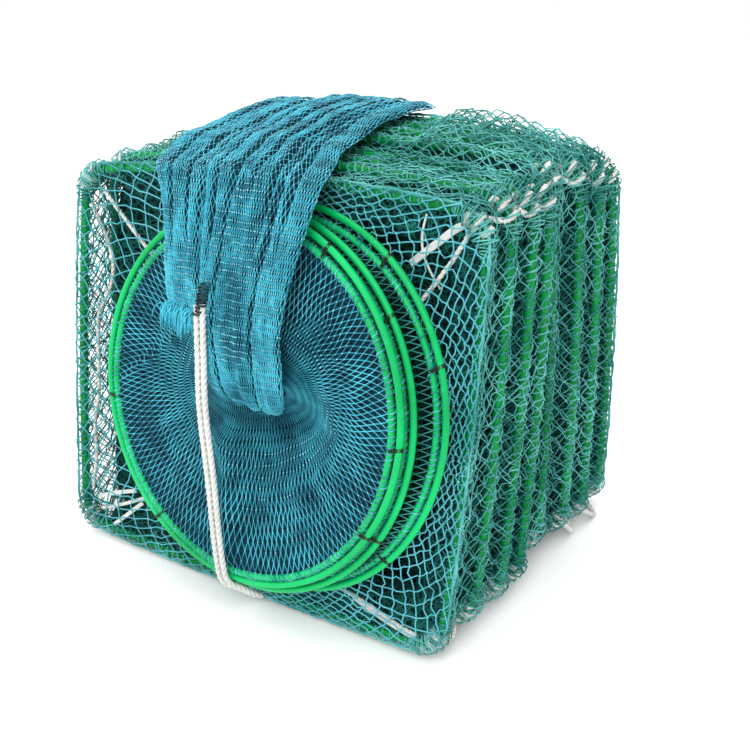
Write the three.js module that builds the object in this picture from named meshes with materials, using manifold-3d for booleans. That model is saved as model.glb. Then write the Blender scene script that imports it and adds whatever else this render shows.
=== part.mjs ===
// Collapsible fish trap net, folded flat: sprung frames inside one bellows net,
// three double hoops at its mouth and a gathered tail thrown over the top.
// Millimetres. +X runs right along the front, +Y away from the front, +Z up, floor at z = 0.

import * as THREE from 'three';
import { mergeVertices } from 'three/addons/utils/BufferGeometryUtils.js';
import Module from 'manifold-3d';

const wasm = await Module();
wasm.setup();

// Frames: bars of coated wire, sizes between bar centre lines; the top has sunk a little on the left
const frameWidth = 400;
const frameHeight = 347;
const frameCorner = 24;
const barRadius = 3.75;
const sideBow = 4;
const footBow = 5;
const leftDrop = 3.5;
const barSides = 6;
const cornerSteps = 3;
const sideSteps = 4;

// Where each frame stands in the folded stack; lean tips its top back,
// roll raises its right end, crown lifts its top bar
const frameRows = [
  { across: 0, depth: 0, lift: 1, lean: 12.8, turn: 1.3, roll: 0, crown: 11 },
  { across: 7, depth: 36, lift: 3, lean: 9.9, turn: 0.9, roll: 0.2, crown: 12 },
  { across: 13, depth: 69, lift: 0, lean: 7.1, turn: 0.6, roll: 0, crown: 12 },
  { across: 17, depth: 94, lift: 0, lean: 5.2, turn: 0.4, roll: 0, crown: 12 },
  { across: 13, depth: 129, lift: 5, lean: 2.3, turn: 0, roll: 1.4, crown: 12 },
  { across: 23, depth: 164, lift: 3, lean: -0.5, turn: -0.3, roll: 0.8, crown: 16 },
  { across: 30, depth: 193, lift: 1, lean: -2.8, turn: -0.6, roll: 0.2, crown: 20 },
  { across: 32, depth: 229, lift: 0, lean: -5.9, turn: -1.0, roll: 0, crown: 23 },
];

// Bellows wall between a frame and the next: how far each side swells out past the bar line
const foldRows = [
  { side: -3, top: 5, foot: -5 },
  { side: -10, top: 6, foot: -7 },
  { side: -8, top: 9, foot: -4 },
  { side: -5, top: 12, foot: 2 },
  { side: -9, top: 15, foot: 2 },
  { side: -7, top: 19, foot: -3 },
  { side: -11, top: 20, foot: -6 },
];

// Under the sleeve the folds lie pressed, to its right they puff up
const sleeveRight = 62;
const puffRun = 45;
const pressedTop = -1.5;

// Net walls: they close round each bar, and the shoulder net and the back start a little inside their rim
const netWall = 1.8;
const barGap = 0.6;
const crestHalf = 4.8;
const crestEase = 0.6;
const rimInset = 1;
const foldRipple = 1.6;
const rippleRound = 2.3;
const rippleNext = 1.7;
const sideSharpness = 6;
const standHeight = 12;
const settleReach = 2.4;
const skinOut = barRadius + barGap + netWall;
const skinIn = barRadius + barGap;

// Hoops, placed in the first frame's plane; forward is the distance in front of it
const wireRadius = 2.75;
const hoopStep = 7.6;
const hoopHang = 1.7;
const hoopSegments = 34;
const hoopRows = [
  { name: 'rear', across: 41.3, up: 5.8, radiusX: 153, radiusZ: 161, forward: 15, lean: 1.2, turn: -2.2 },
  { name: 'middle', across: 21.6, up: 1.1, radiusX: 152, radiusZ: 160, forward: 25, lean: 1.5, turn: -2.6 },
  { name: 'front', across: 14.3, up: 3.4, radiusX: 153, radiusZ: 157, forward: 34, lean: 0.9, turn: -2.4 },
];
const hoopGap = 0.35;
const laceInset = 1;
const besideWire = wireRadius + hoopGap + netWall / 2;

// Shoulder net: diamonds round the mouth, at twice the knots' real pitch
const diamondsRound = 42;
const diamondRows = 3;
const twineShare = 0.17;
const smallestCut = 13;
const shoulderRim = 5.2;
const shoulderSag = 2;
const sagSpan = 60;
const sagWaves = 7;
const sagBack = 0.4;

// Ropes
const ropeRadius = 2.75;
const lineRadius = 2.1;
const ropeSides = 8;
const lineSides = 6;
const ropeSteps = 30;

const green = new THREE.MeshStandardMaterial({ color: 0x0a7a3c, roughness: 0.45, metalness: 0 });
const brightGreen = new THREE.MeshStandardMaterial({ color: 0x12d070, roughness: 0.3, metalness: 0 });
const netGreen = new THREE.MeshStandardMaterial({ color: 0x1f7f74, roughness: 0.8, metalness: 0 });
const netBlue = new THREE.MeshStandardMaterial({ color: 0x1b93b8, roughness: 0.7, metalness: 0 });
const ropeWhite = new THREE.MeshStandardMaterial({ color: 0xe6e6e0, roughness: 0.75, metalness: 0 });

const radians = THREE.MathUtils.degToRad;
const lerp = THREE.MathUtils.lerp;
const smoothstep = (share) => THREE.MathUtils.smoothstep(share, 0, 1);

// Closed surface from points and triangles, turned so that its faces point outward
function closedGeometry(points, triangles) {
  let volume = 0;
  for (let i = 0; i < triangles.length; i += 3) {
    const [a, b, c] = [0, 1, 2].map((k) => points[triangles[i + k]]);
    volume += a.dot(new THREE.Vector3().crossVectors(b, c));
  }
  const turned = volume < 0 ? [...triangles].reverse() : triangles;
  const geometry = new THREE.BufferGeometry();
  const values = points.flatMap((point) => [point.x, point.y, point.z]);
  geometry.setAttribute('position', new THREE.Float32BufferAttribute(values, 3));
  geometry.setIndex(turned);
  return geometry;
}

// Skin through a row of equal loops; a closed row joins its last loop to its first. Loops from backFrom on
// run back behind the first ones, and their quads are halved along the same diagonals
function loft(loops, { closed, capOutline, backFrom = Infinity }) {
  const count = loops[0].length;
  const triangles = [];
  const bands = closed ? loops.length : loops.length - 1;
  for (let band = 0; band < bands; band += 1) {
    const next = (band + 1) % loops.length;
    for (let side = 0; side < count; side += 1) {
      const a = band * count + side;
      const b = band * count + ((side + 1) % count);
      const c = next * count + ((side + 1) % count);
      const d = next * count + side;
      if (band < backFrom) {
        triangles.push(a, b, c, a, c, d);
      } else {
        triangles.push(a, b, d, b, c, d);
      }
    }
  }
  if (!closed) {
    const faces = THREE.ShapeUtils.triangulateShape(capOutline, []);
    const last = (loops.length - 1) * count;
    for (const [a, b, c] of faces) {
      triangles.push(a, c, b, last + a, last + b, last + c);
    }
  }
  return closedGeometry(loops.flat(), triangles);
}

// Outline of a frame in its own plane, anticlockwise from the right side, grown outward by a margin
function frameOutline(grow, crown) {
  const halfWidth = frameWidth / 2;
  const halfHeight = frameHeight / 2;
  const radius = frameCorner + grow;
  const outline = [];
  for (const [signX, signZ, start] of [[1, 1, 0], [-1, 1, 90], [-1, -1, 180], [1, -1, 270]]) {
    const middleX = signX * (halfWidth - frameCorner);
    const middleZ = signZ * (halfHeight - frameCorner);
    for (let step = 0; step <= cornerSteps; step += 1) {
      const angle = radians(start + (90 * step) / cornerSteps);
      const [across, up] = [radius * Math.cos(angle), radius * Math.sin(angle)];
      outline.push(new THREE.Vector2(middleX + across, middleZ + up));
    }
  }
  const withSides = [];
  outline.forEach((point, index) => {
    withSides.push(point);
    if (index % (cornerSteps + 1) === cornerSteps) {
      const next = outline[(index + 1) % outline.length];
      for (let step = 1; step < sideSteps; step += 1) {
        withSides.push(point.clone().lerp(next, step / sideSteps));
      }
    }
  });
  return withSides.map(({ x, y }) => {
    const acrossShare = Math.max(0, 1 - (x / (halfWidth + grow)) ** 2);
    const upShare = Math.max(0, 1 - (y / (halfHeight + grow)) ** 2);
    const bow = y > 0 ? crown : footBow;
    const drop = y > 0 ? leftDrop * (0.5 - x / frameWidth) : 0;
    const lift = Math.sign(y) * bow * acrossShare - drop;
    return new THREE.Vector2(x + Math.sign(x) * sideBow * upShare, y + lift);
  });
}

// Pose of a frame: its own x and z lie in the frame's plane, forward points out of its front
function framePose(row) {
  const height = standHeight + row.lift + (frameHeight / 2) * Math.cos(radians(row.lean));
  const turn = new THREE.Euler(-radians(row.lean), -radians(row.roll), radians(row.turn), 'ZXY');
  return new THREE.Matrix4().compose(
    new THREE.Vector3(row.across, row.depth, height),
    new THREE.Quaternion().setFromEuler(turn),
    new THREE.Vector3(1, 1, 1),
  );
}

const framePoses = frameRows.map(framePose);

function framePoint(index, x, z, forward) {
  return new THREE.Vector3(x, -forward, z).applyMatrix4(framePoses[index]);
}

const frontNormal = framePoint(0, 0, 0, 1).sub(framePoint(0, 0, 0, 0));

// Ring of bar or wire round a flat closed outline that place() puts in space
function ringGeometry(outline, radius, sides, place) {
  const count = outline.length;
  const loops = outline.map((point, index) => {
    const before = outline[(index + count - 1) % count];
    const after = outline[(index + 1) % count];
    const along = after.clone().sub(before).normalize();
    const outward = new THREE.Vector2(along.y, -along.x);
    const loop = [];
    for (let side = 0; side < sides; side += 1) {
      const angle = (2 * Math.PI * side) / sides;
      const reach = radius * Math.cos(angle);
      loop.push(place(point.x + outward.x * reach, point.y + outward.y * reach, radius * Math.sin(angle)));
    }
    return loop;
  });
  return loft(loops, { closed: true });
}

// The origin stands on the floor under the middle of the whole trap
const originAcross = 18.9;
const originDepth = 92.3;
const trap = new THREE.Group();
trap.position.set(-originAcross, -originDepth, 0);

function addMesh(name, geometry, material) {
  const mesh = new THREE.Mesh(geometry, material);
  mesh.name = name;
  trap.add(mesh);
}

function addFrames() {
  frameRows.forEach((row, index) => {
    const outline = frameOutline(0, row.crown);
    const place = (x, z, forward) => framePoint(index, x, z, forward);
    addMesh(`frame_${index + 1}`, ringGeometry(outline, barRadius, barSides, place), green);
  });
}

// One loop of the bellows wall on a frame
function crestLoop(index, grow, forward) {
  const outline = frameOutline(grow, frameRows[index].crown);
  return outline.map(({ x, y }) => framePoint(index, x, y, forward));
}

// The loop half way to the next frame, drawn in or swelling out by the fold's own amounts
function foldLoop(index, grow) {
  const fold = foldRows[index];
  const near = frameOutline(0, frameRows[index].crown).map(({ x, y }) => framePoint(index, x, y, 0));
  const far = frameOutline(0, frameRows[index + 1].crown).map(({ x, y }) => framePoint(index + 1, x, y, 0));
  const flat = frameOutline(0, 0);
  return near.map((point, step) => {
    const shareX = flat[step].x / (frameWidth / 2);
    const shareZ = flat[step].y / (frameHeight / 2);
    const sideways = Math.abs(shareX) ** sideSharpness;
    const side = sideways / (sideways + Math.abs(shareZ) ** sideSharpness);
    const clear = smoothstep((point.x - sleeveRight) / puffRun);
    const vertical = shareZ > 0 ? lerp(pressedTop, fold.top, clear) : fold.foot;
    const ripple = foldRipple * (Math.sin(step * rippleRound + index * rippleNext) - 1);
    const out = grow + ripple + side * fold.side + (1 - side) * vertical;
    const middle = point.clone().lerp(far[step], 0.5);
    middle.x += out * side * Math.sign(shareX);
    middle.z += out * (1 - side) * Math.sign(shareZ);
    return middle;
  });
}

// Net that comes near the floor lies flat on it, its inner skin above its outer one
function settle(outerLoop, innerLoop) {
  outerLoop.forEach((outer, step) => {
    if (outer.z < settleReach) {
      outer.z = 0;
      innerLoop[step].z = Math.max(innerLoop[step].z, netWall);
    }
  });
}

function addBody() {
  const skin = (grow, crest, rim) => {
    const loops = [];
    frameRows.forEach((row, index) => {
      const frontRim = index === 0 ? rim : crest;
      const backRim = index === frameRows.length - 1 ? rim : crest;
      loops.push(crestLoop(index, grow, frontRim));
      loops.push(crestLoop(index, grow, -backRim));
      if (index < foldRows.length) {
        loops.push(foldLoop(index, grow - skinIn));
      }
    });
    return loops;
  };
  const rim = barRadius;
  const outer = skin(skinOut, crestHalf, rim);
  const inner = skin(skinIn, crestHalf + crestEase, rim);
  outer.forEach((loop, band) => settle(loop, inner[band]));
  const loops = [...outer, ...inner.reverse()];
  addMesh('net_body', loft(loops, { closed: true, backFrom: outer.length }), netGreen);
}

function addBack() {
  const last = frameRows.length - 1;
  const outline = frameOutline(skinOut - rimInset, frameRows[last].crown);
  const skins = [skinIn, skinOut].map((depth) => outline.map(({ x, y }) => framePoint(last, x, y, -depth)));
  addMesh('net_back', loft(skins, { closed: false, capOutline: outline }), netGreen);
}

// Point of an ellipse smaller than a hoop's outer wire by inset; the inner wire hangs near the outer's foot
function hoopOutlinePoint(row, angle, inset) {
  const hang = hoopHang * Math.min(1, inset / hoopStep);
  const x = (row.radiusX - inset) * Math.cos(angle);
  return new THREE.Vector2(x, (row.radiusZ - inset) * Math.sin(angle) - hang);
}

function hoopPoint(row, angle, inset, forward) {
  const { x, y } = hoopOutlinePoint(row, angle, inset);
  return hoopPlace(row, x, y, forward);
}

function hoopPlace(row, x, z, forward) {
  const turn = new THREE.Euler(-radians(row.lean), 0, radians(row.turn), 'ZXY');
  const offset = new THREE.Vector3(x, -forward, z).applyEuler(turn);
  return framePoint(0, row.across + offset.x, row.up + offset.z, row.forward - offset.y);
}

function addHoops() {
  for (const row of hoopRows) {
    for (const [kind, inset] of [['outer', 0], ['inner', hoopStep]]) {
      const outline = [];
      for (let step = 0; step < hoopSegments; step += 1) {
        outline.push(hoopOutlinePoint(row, (2 * Math.PI * step) / hoopSegments, inset));
      }
      const place = (x, z, forward) => hoopPlace(row, x, z, forward);
      addMesh(`hoop_${row.name}_${kind}`, ringGeometry(outline, wireRadius, barSides, place), brightGreen);
    }
  }
}

// Where a ray from the rear hoop's middle meets the first frame's outline
function shoulderEdge(angle, grow) {
  const [rear] = hoopRows;
  const outline = frameOutline(grow, frameRows[0].crown);
  const direction = new THREE.Vector2(Math.cos(angle), Math.sin(angle));
  const middle = new THREE.Vector2(rear.across, rear.up);
  let reach = 0;
  outline.forEach((start, index) => {
    const end = outline[(index + 1) % outline.length];
    const edge = end.clone().sub(start);
    const toStart = start.clone().sub(middle);
    const cross = direction.x * edge.y - direction.y * edge.x;
    const along = (toStart.x * edge.y - toStart.y * edge.x) / cross;
    const share = (toStart.x * direction.y - toStart.y * direction.x) / cross;
    if (share >= 0 && share <= 1 && along > 0) {
      reach = along;
    }
  });
  return middle.addScaledVector(direction, reach);
}

// Point on the shoulder net: share 0 at the frame, 1 at the rear hoop
function shoulderPoint(turns, share, back) {
  const [rear] = hoopRows;
  const angle = 2 * Math.PI * turns;
  const edge = shoulderEdge(angle, skinOut - rimInset);
  const start = framePoint(0, edge.x, edge.y, shoulderRim);
  const end = hoopPoint(rear, angle, hoopStep + laceInset, -besideWire);
  const point = start.clone().lerp(end, share);
  const slack = Math.sin(Math.PI * share) * (1 - share) * Math.min(1, start.distanceTo(end) / sagSpan);
  const sag = shoulderSag * slack * (Math.sin(sagWaves * angle) - sagBack);
  return point.addScaledVector(frontNormal, sag - back);
}

// Sheet of diamonds, cut through wherever a diamond is large enough
function addShoulder() {
  const points = [];
  const triangles = [];
  const levels = 2 * diamondRows;
  const knots = new Map();
  const knot = (column, level, back) => {
    const place = ((column % (2 * diamondsRound)) + 2 * diamondsRound) % (2 * diamondsRound);
    const key = `${place} ${level} ${back}`;
    if (!knots.has(key)) {
      knots.set(key, points.length);
      const depth = back ? netWall / 2 : -netWall / 2;
      points.push(shoulderPoint(place / (2 * diamondsRound), level / levels, depth));
    }
    return knots.get(key);
  };
  const face = (corners, flipped) => {
    const loop = flipped ? [...corners].reverse() : corners;
    for (let i = 2; i < loop.length; i += 1) {
      triangles.push(loop[0], loop[i - 1], loop[i]);
    }
  };
  for (let level = 0; level <= levels; level += 1) {
    for (let column = level % 2; column < 2 * diamondsRound; column += 2) {
      const cell = [[column + 1, level], [column, level + 1], [column - 1, level], [column, level - 1]];
      const corners = cell.filter(([, at]) => at >= 0 && at <= levels);
      const skins = [false, true].map((back) => corners.map(([at, row]) => knot(at, row, back)));
      const middle = new THREE.Vector3();
      skins[0].forEach((index) => middle.addScaledVector(points[index], 1 / corners.length));
      const spans = [0, 1].map((k) => (corners.length === 4
        ? points[skins[0][k]].distanceTo(points[skins[0][k + 2]]) : 0));
      if (Math.min(...spans) < smallestCut) {
        face(skins[0], false);
        face(skins[1], true);
      } else {
        const inner = skins.map((skin) => {
          const centre = new THREE.Vector3();
          skin.forEach((index) => centre.addScaledVector(points[index], 1 / skin.length));
          return skin.map((index) => {
            points.push(points[index].clone().lerp(centre, twineShare));
            return points.length - 1;
          });
        });
        for (let k = 0; k < 4; k += 1) {
          const next = (k + 1) % 4;
          face([skins[0][k], skins[0][next], inner[0][next], inner[0][k]], false);
          face([skins[1][k], skins[1][next], inner[1][next], inner[1][k]], true);
          face([inner[0][k], inner[0][next], inner[1][next], inner[1][k]], false);
        }
      }
    }
  }
  for (const level of [0, levels]) {
    for (let column = 1 + (level % 2); column < 2 * diamondsRound + 1; column += 2) {
      const edge = [knot(column, level, false), knot(column + 2, level, false)];
      const behind = [knot(column, level, true), knot(column + 2, level, true)];
      face([edge[0], edge[1], behind[1], behind[0]], level === 0);
    }
  }
  addMesh('net_front', closedGeometry(points, triangles), netGreen);
}

function hoopLoop(row, inset, forward) {
  const loop = [];
  for (let step = 0; step < hoopSegments; step += 1) {
    loop.push(hoopPoint(row, (2 * Math.PI * step) / hoopSegments, inset, forward));
  }
  return loop;
}

// Sheet of even thickness through a row of closed loops that run along its middle
function sheetGeometry(loops, thickness) {
  const count = loops[0].length;
  const skins = [0.5, -0.5].map((share) => loops.map((loop, row) => loop.map((point, step) => {
    const round = loop[(step + 1) % count].clone().sub(loop[(step + count - 1) % count]);
    const before = loops[Math.max(0, row - 1)][step];
    const after = loops[Math.min(loops.length - 1, row + 1)][step];
    const normal = round.cross(after.clone().sub(before)).normalize();
    return point.clone().addScaledVector(normal, share * thickness);
  })));
  return loft([...skins[0], ...skins[1].reverse()], { closed: true, backFrom: loops.length });
}

function addCollar() {
  const [rear, middle, front] = hoopRows;
  const edge = hoopStep + laceInset;
  const inside = hoopStep + besideWire;
  const loops = [
    hoopLoop(rear, edge, besideWire),
    hoopLoop(middle, inside, -besideWire),
    hoopLoop(middle, inside, besideWire),
    hoopLoop(front, edge, -besideWire),
  ];
  addMesh('net_collar', sheetGeometry(loops, netWall), netGreen);
}

// Tail: the disc runs from the front hoop in to the throat, in shares of the way
const discRows = [
  { share: 0, forward: 0 },
  { share: 0.3, forward: -3 },
  { share: 0.55, forward: -5 },
  { share: 0.78, forward: -3 },
  { share: 0.92, forward: 2 },
  { share: 1, forward: 6 },
];
const throat = { across: 27, up: 21, radiusX: 32, radiusZ: 11, forward: 43 };
const dent = { across: 72, up: -4, reach: 34, depth: 12 };

function discLoop(row) {
  const front = hoopRows[2];
  const loop = [];
  for (let step = 0; step < hoopSegments; step += 1) {
    const angle = (2 * Math.PI * step) / hoopSegments;
    const rim = hoopPoint(front, angle, hoopStep + wireRadius + hoopGap, 0);
    const x = throat.across + throat.radiusX * Math.cos(angle);
    const z = throat.up + throat.radiusZ * Math.sin(angle);
    const point = rim.lerp(framePoint(0, x, z, throat.forward), row.share);
    const local = point.clone().applyMatrix4(framePoses[0].clone().invert());
    const away = Math.hypot(local.x - dent.across, local.z - dent.up) / dent.reach;
    const hollow = row.share > 0 ? dent.depth * Math.exp(-away * away) : 0;
    point.addScaledVector(frontNormal, row.forward - hollow);
    loop.push(point);
  }
  return loop;
}

// Sleeve strips: half is half the width, thick the gathered thickness, by stations along the way.
// Stations with plane 'front' are in the first frame's plane, the others use across, depth, height.
const risingRows = [
  { plane: 'front', across: 29, up: 4, forward: 36, half: 30, thick: 7, tip: 60 },
  { plane: 'front', across: 28, up: 16, forward: 46, half: 38, thick: 9, tip: 36 },
  { plane: 'front', across: 26, up: 42, forward: 53, half: 41, thick: 10, tip: 5 },
  { plane: 'front', across: 22, up: 75, forward: 54, half: 43, thick: 10, tip: 0 },
  { plane: 'front', across: 25, up: 115, forward: 52, half: 46, thick: 11, tip: 0 },
  { plane: 'front', across: 29, up: 150, forward: 49, half: 51, thick: 11, tip: -4 },
  { plane: 'front', across: 27, up: 178, forward: 40, half: 56, thick: 11, tip: -28 },
  { plane: 'top', across: 21, depth: 16, height: 372.5, half: 59, thick: 11, tip: -60 },
  { plane: 'top', across: 12, depth: 42, height: 375.5, half: 58, thick: 11, tip: -80 },
  { plane: 'top', across: 5, depth: 68, height: 381.5, half: 56, thick: 11, tip: -82 },
  { plane: 'top', across: 0, depth: 100, height: 382.5, half: 55, thick: 11, tip: -82 },
  { plane: 'top', across: -2, depth: 137, height: 389, half: 55, thick: 11, tip: -86 },
  { plane: 'top', across: -1, depth: 175, height: 391, half: 56, thick: 11, tip: -90 },
  { plane: 'top', across: 1, depth: 209, height: 391, half: 57, thick: 11, tip: -94 },
  { plane: 'top', across: 1, depth: 224, height: 388, half: 56, thick: 9, tip: -112 },
];
const returningRows = [
  { plane: 'front', across: -27, up: 64, forward: 50, half: 16, thick: 6, tip: 0 },
  { plane: 'front', across: -27, up: 78, forward: 51, half: 22, thick: 11, tip: 0 },
  { plane: 'front', across: -33, up: 100, forward: 51, half: 21, thick: 11, tip: 0 },
  { plane: 'front', across: -37, up: 135, forward: 49, half: 20.5, thick: 11, tip: -2 },
  { plane: 'front', across: -41, up: 160, forward: 46, half: 23, thick: 11, tip: -8 },
  { plane: 'front', across: -49, up: 179, forward: 38, half: 28, thick: 10, tip: -30 },
  { plane: 'top', across: -60, depth: 16, height: 369, half: 31, thick: 10, tip: -60 },
  { plane: 'top', across: -69, depth: 42, height: 372.5, half: 33, thick: 9, tip: -80 },
  { plane: 'top', across: -75, depth: 68, height: 378.5, half: 34, thick: 9, tip: -82 },
  { plane: 'top', across: -80, depth: 100, height: 379, half: 35, thick: 9, tip: -82 },
  { plane: 'top', across: -82, depth: 137, height: 383, half: 36, thick: 9, tip: -86 },
  { plane: 'top', across: -83, depth: 175, height: 385.5, half: 37, thick: 9, tip: -90 },
  { plane: 'top', across: -83, depth: 209, height: 386, half: 38, thick: 9, tip: -94 },
  { plane: 'top', across: -83, depth: 224, height: 382.5, half: 37, thick: 8, tip: -112 },
];
const pleatDepth = 1.5;
const stripSteps = 9;
const risingPleats = 5;
const returningPleats = 3;

// Cross-section of a gathered strip: soft pleats on both faces and round edges, as shares
function stripSection(pleats) {
  const outline = [];
  for (const face of [1, -1]) {
    for (let step = 0; step < stripSteps; step += 1) {
      const across = face * Math.cos((Math.PI * (step + 0.5)) / stripSteps);
      const round = Math.sqrt(Math.max(0, 1 - across ** 4));
      outline.push({ across, face, round, pleat: Math.cos(pleats * Math.PI * across) });
    }
  }
  return outline;
}

function stripGeometry(rows, pleats) {
  const section = stripSection(pleats);
  const loops = rows.map((row) => {
    const middle = row.plane === 'front'
      ? framePoint(0, row.across, row.up, row.forward)
      : new THREE.Vector3(row.across, row.depth, row.height);
    const tip = radians(row.tip - (row.plane === 'front' ? frameRows[0].lean : 0));
    const outward = new THREE.Vector3(0, -Math.cos(tip), -Math.sin(tip));
    return section.map(({ across, face, round, pleat }) => {
      const lift = (face * round * (row.thick - pleatDepth * (1 - pleat))) / 2;
      const point = middle.clone().addScaledVector(outward, lift);
      point.x += across * row.half;
      return point;
    });
  });
  const capOutline = section.map(({ across, face, round }) => new THREE.Vector2(across, face * round));
  return loft(loops, { closed: false, capOutline });
}

function toManifold(geometry) {
  const bare = geometry.clone();
  bare.deleteAttribute('normal');
  bare.deleteAttribute('uv');
  const merged = mergeVertices(bare);
  const vertProperties = new Float32Array(merged.attributes.position.array);
  const triVerts = new Uint32Array(merged.index.array);
  return new wasm.Manifold(new wasm.Mesh({ numProp: 3, vertProperties, triVerts }));
}

function fromManifold(solid) {
  const mesh = solid.getMesh();
  const geometry = new THREE.BufferGeometry();
  geometry.setAttribute('position', new THREE.Float32BufferAttribute(mesh.vertProperties, 3));
  geometry.setIndex(Array.from(mesh.triVerts));
  return geometry;
}

function addTail() {
  const disc = sheetGeometry(discRows.map(discLoop), netWall);
  const rising = stripGeometry(risingRows, risingPleats);
  const returning = stripGeometry(returningRows, returningPleats);
  const tail = toManifold(disc).add(toManifold(rising)).add(toManifold(returning));
  addMesh('net_tail', fromManifold(tail), netBlue);
}

// Round rope or line along a smooth path
function ropeGeometry(points, radius, sides, steps) {
  const outline = [];
  for (let side = 0; side < sides; side += 1) {
    const angle = (2 * Math.PI * side) / sides;
    outline.push(new THREE.Vector2(radius * Math.cos(angle), radius * Math.sin(angle)));
  }
  const path = new THREE.CatmullRomCurve3(points, false, 'centripetal');
  const rope = new THREE.ExtrudeGeometry(new THREE.Shape(outline), {
    extrudePath: path,
    steps,
    bevelEnabled: false,
  });
  rope.deleteAttribute('normal');
  rope.deleteAttribute('uv');
  return mergeVertices(rope);
}

// Corner ropes run along the stack just outside the net, at their own reach from the bars; slack is how
// far each stretch between two frames hangs out to the side, or dips in where it is negative
const ropeHalfBend = 3;
const slackFall = 0.7;
const cornerRows = [
  { name: 'top_left', sideX: -1, sideZ: 1, reach: 11, slack: [-1, -1, -1, -1, -1, -1, -1] },
  { name: 'top_right', sideX: 1, sideZ: 1, reach: 11, slack: [-1, -1, -1, -1, -1, -1, -1] },
  { name: 'bottom_left', sideX: -1, sideZ: -1, reach: 9.8, slack: [-1, 3, -1, -1, 2, -1, 3] },
  { name: 'bottom_right', sideX: 1, sideZ: -1, reach: 9.8, slack: [5, -1, 4, -1, -1, 1, 14] },
];

function addCornerRopes() {
  for (const { name, sideX, sideZ, reach, slack } of cornerRows) {
    const out = reach * Math.SQRT1_2 - frameCorner * (1 - Math.SQRT1_2);
    const drop = sideX < 0 && sideZ > 0 ? leftDrop : 0;
    const x = sideX * (frameWidth / 2 + out);
    const z = sideZ * (frameHeight / 2 + out) - drop;
    const points = [];
    frameRows.forEach((row, index) => {
      points.push(framePoint(index, x, z, ropeHalfBend));
      points.push(framePoint(index, x, z, -ropeHalfBend));
      if (index < slack.length) {
        const middle = framePoint(index, x, z, 0).lerp(framePoint(index + 1, x, z, 0), 0.5);
        middle.x += sideX * slack[index];
        middle.z -= Math.abs(slack[index]) * slackFall;
        points.push(middle);
      }
    });
    points.forEach((point) => {
      point.z = Math.max(point.z, ropeRadius + hoopGap);
    });
    addMesh(`corner_rope_${name}`, ropeGeometry(points, ropeRadius, lineSides, ropeSteps), ropeWhite);
  }
}

// Doubled rope that holds the tail's end down, over the front hoop to the first frame's foot
const tieRows = [
  { across: -13, up: 82, forward: 59.6 },
  { across: -10.5, up: 66, forward: 61.6 },
  { across: -9, up: 42, forward: 61.2 },
  { across: -8, up: 0, forward: 58.5 },
  { across: -1, up: -61, forward: 53.5 },
  { across: 4.5, up: -121.5, forward: 48 },
  { across: 7, up: -142, forward: 45.8 },
  { across: 9, up: -153, forward: 44.2 },
  { across: 11.5, up: -160.5, forward: 40 },
  { across: 15.5, up: -167, forward: 30 },
  { across: 20.5, up: -175, forward: 19.5 },
  { across: 24.5, up: -180.5, forward: 11.2 },
];
const tieSpacing = 6;
const tieSteps = 20;

function addTieRopes() {
  for (const [name, shift, rise] of [['left', 0, 0], ['right', tieSpacing, 1.5]]) {
    const points = tieRows.map((row) => framePoint(0, row.across + shift, row.up + rise, row.forward));
    addMesh(`tie_rope_${name}`, ropeGeometry(points, ropeRadius, ropeSides, tieSteps), ropeWhite);
  }
}

// Lines from the first frame's corners to the rear hoop, just behind the shoulder net, by degrees round it
const braceRows = [
  { name: 'top_left', corner: 145.8, hoop: 150 },
  { name: 'top_right', corner: 46.5, hoop: 40 },
  { name: 'bottom_left', corner: 216.7, hoop: 222 },
  { name: 'bottom_right', corner: 309, hoop: 292 },
];
const braceStart = 0.17;
const braceEnd = 0.93;
const braceBehind = 3.9;
const braceSteps = 8;

function addBraceLines() {
  for (const { name, corner, hoop } of braceRows) {
    const points = [];
    for (let step = 0; step <= braceSteps; step += 1) {
      const turns = lerp(corner, hoop, step / braceSteps) / 360;
      points.push(shoulderPoint(turns, lerp(braceStart, braceEnd, step / braceSteps), braceBehind));
    }
    addMesh(`brace_line_${name}`, ropeGeometry(points, lineRadius, lineSides, braceSteps), ropeWhite);
  }
}

// White line that hangs slack beside the first frame's left bar, behind the shoulder net
const slackRows = [
  { across: -192, up: 140 },
  { across: -183, up: 125 },
  { across: -169, up: 102 },
  { across: -165, up: 86 },
  { across: -167, up: 70 },
  { across: -174, up: 55 },
  { across: -183, up: 38 },
  { across: -184, up: 10 },
  { across: -183, up: -40 },
  { across: -188, up: -68 },
  { across: -186, up: -105 },
  { across: -190, up: -138 },
];
const slackForward = 0.5;
const slackSteps = 16;

function addSlackLine() {
  const points = slackRows.map(({ across, up }) => framePoint(0, across, up, slackForward));
  addMesh('slack_line_left', ropeGeometry(points, lineRadius, lineSides, slackSteps), ropeWhite);
}

addFrames();
addBody();
addBack();
addShoulder();
addCollar();
addHoops();
addTail();
addCornerRopes();
addTieRopes();
addBraceLines();
addSlackLine();

export default trap;
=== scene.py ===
import bisect
import math

import bmesh
import bpy
from mathutils import Matrix, Vector, noise


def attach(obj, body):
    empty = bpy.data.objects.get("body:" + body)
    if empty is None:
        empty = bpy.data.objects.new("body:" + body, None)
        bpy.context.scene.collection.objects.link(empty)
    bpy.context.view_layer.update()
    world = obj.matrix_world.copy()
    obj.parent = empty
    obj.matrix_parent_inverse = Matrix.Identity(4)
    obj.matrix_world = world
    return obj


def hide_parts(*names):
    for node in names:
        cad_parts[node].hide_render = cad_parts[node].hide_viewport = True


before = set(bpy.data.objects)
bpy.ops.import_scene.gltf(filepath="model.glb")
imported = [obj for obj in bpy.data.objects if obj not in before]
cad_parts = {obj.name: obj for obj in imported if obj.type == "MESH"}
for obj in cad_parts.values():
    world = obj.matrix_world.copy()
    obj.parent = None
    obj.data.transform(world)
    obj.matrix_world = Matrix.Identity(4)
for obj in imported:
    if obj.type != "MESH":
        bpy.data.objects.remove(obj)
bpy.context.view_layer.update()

mm = 0.001
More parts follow.
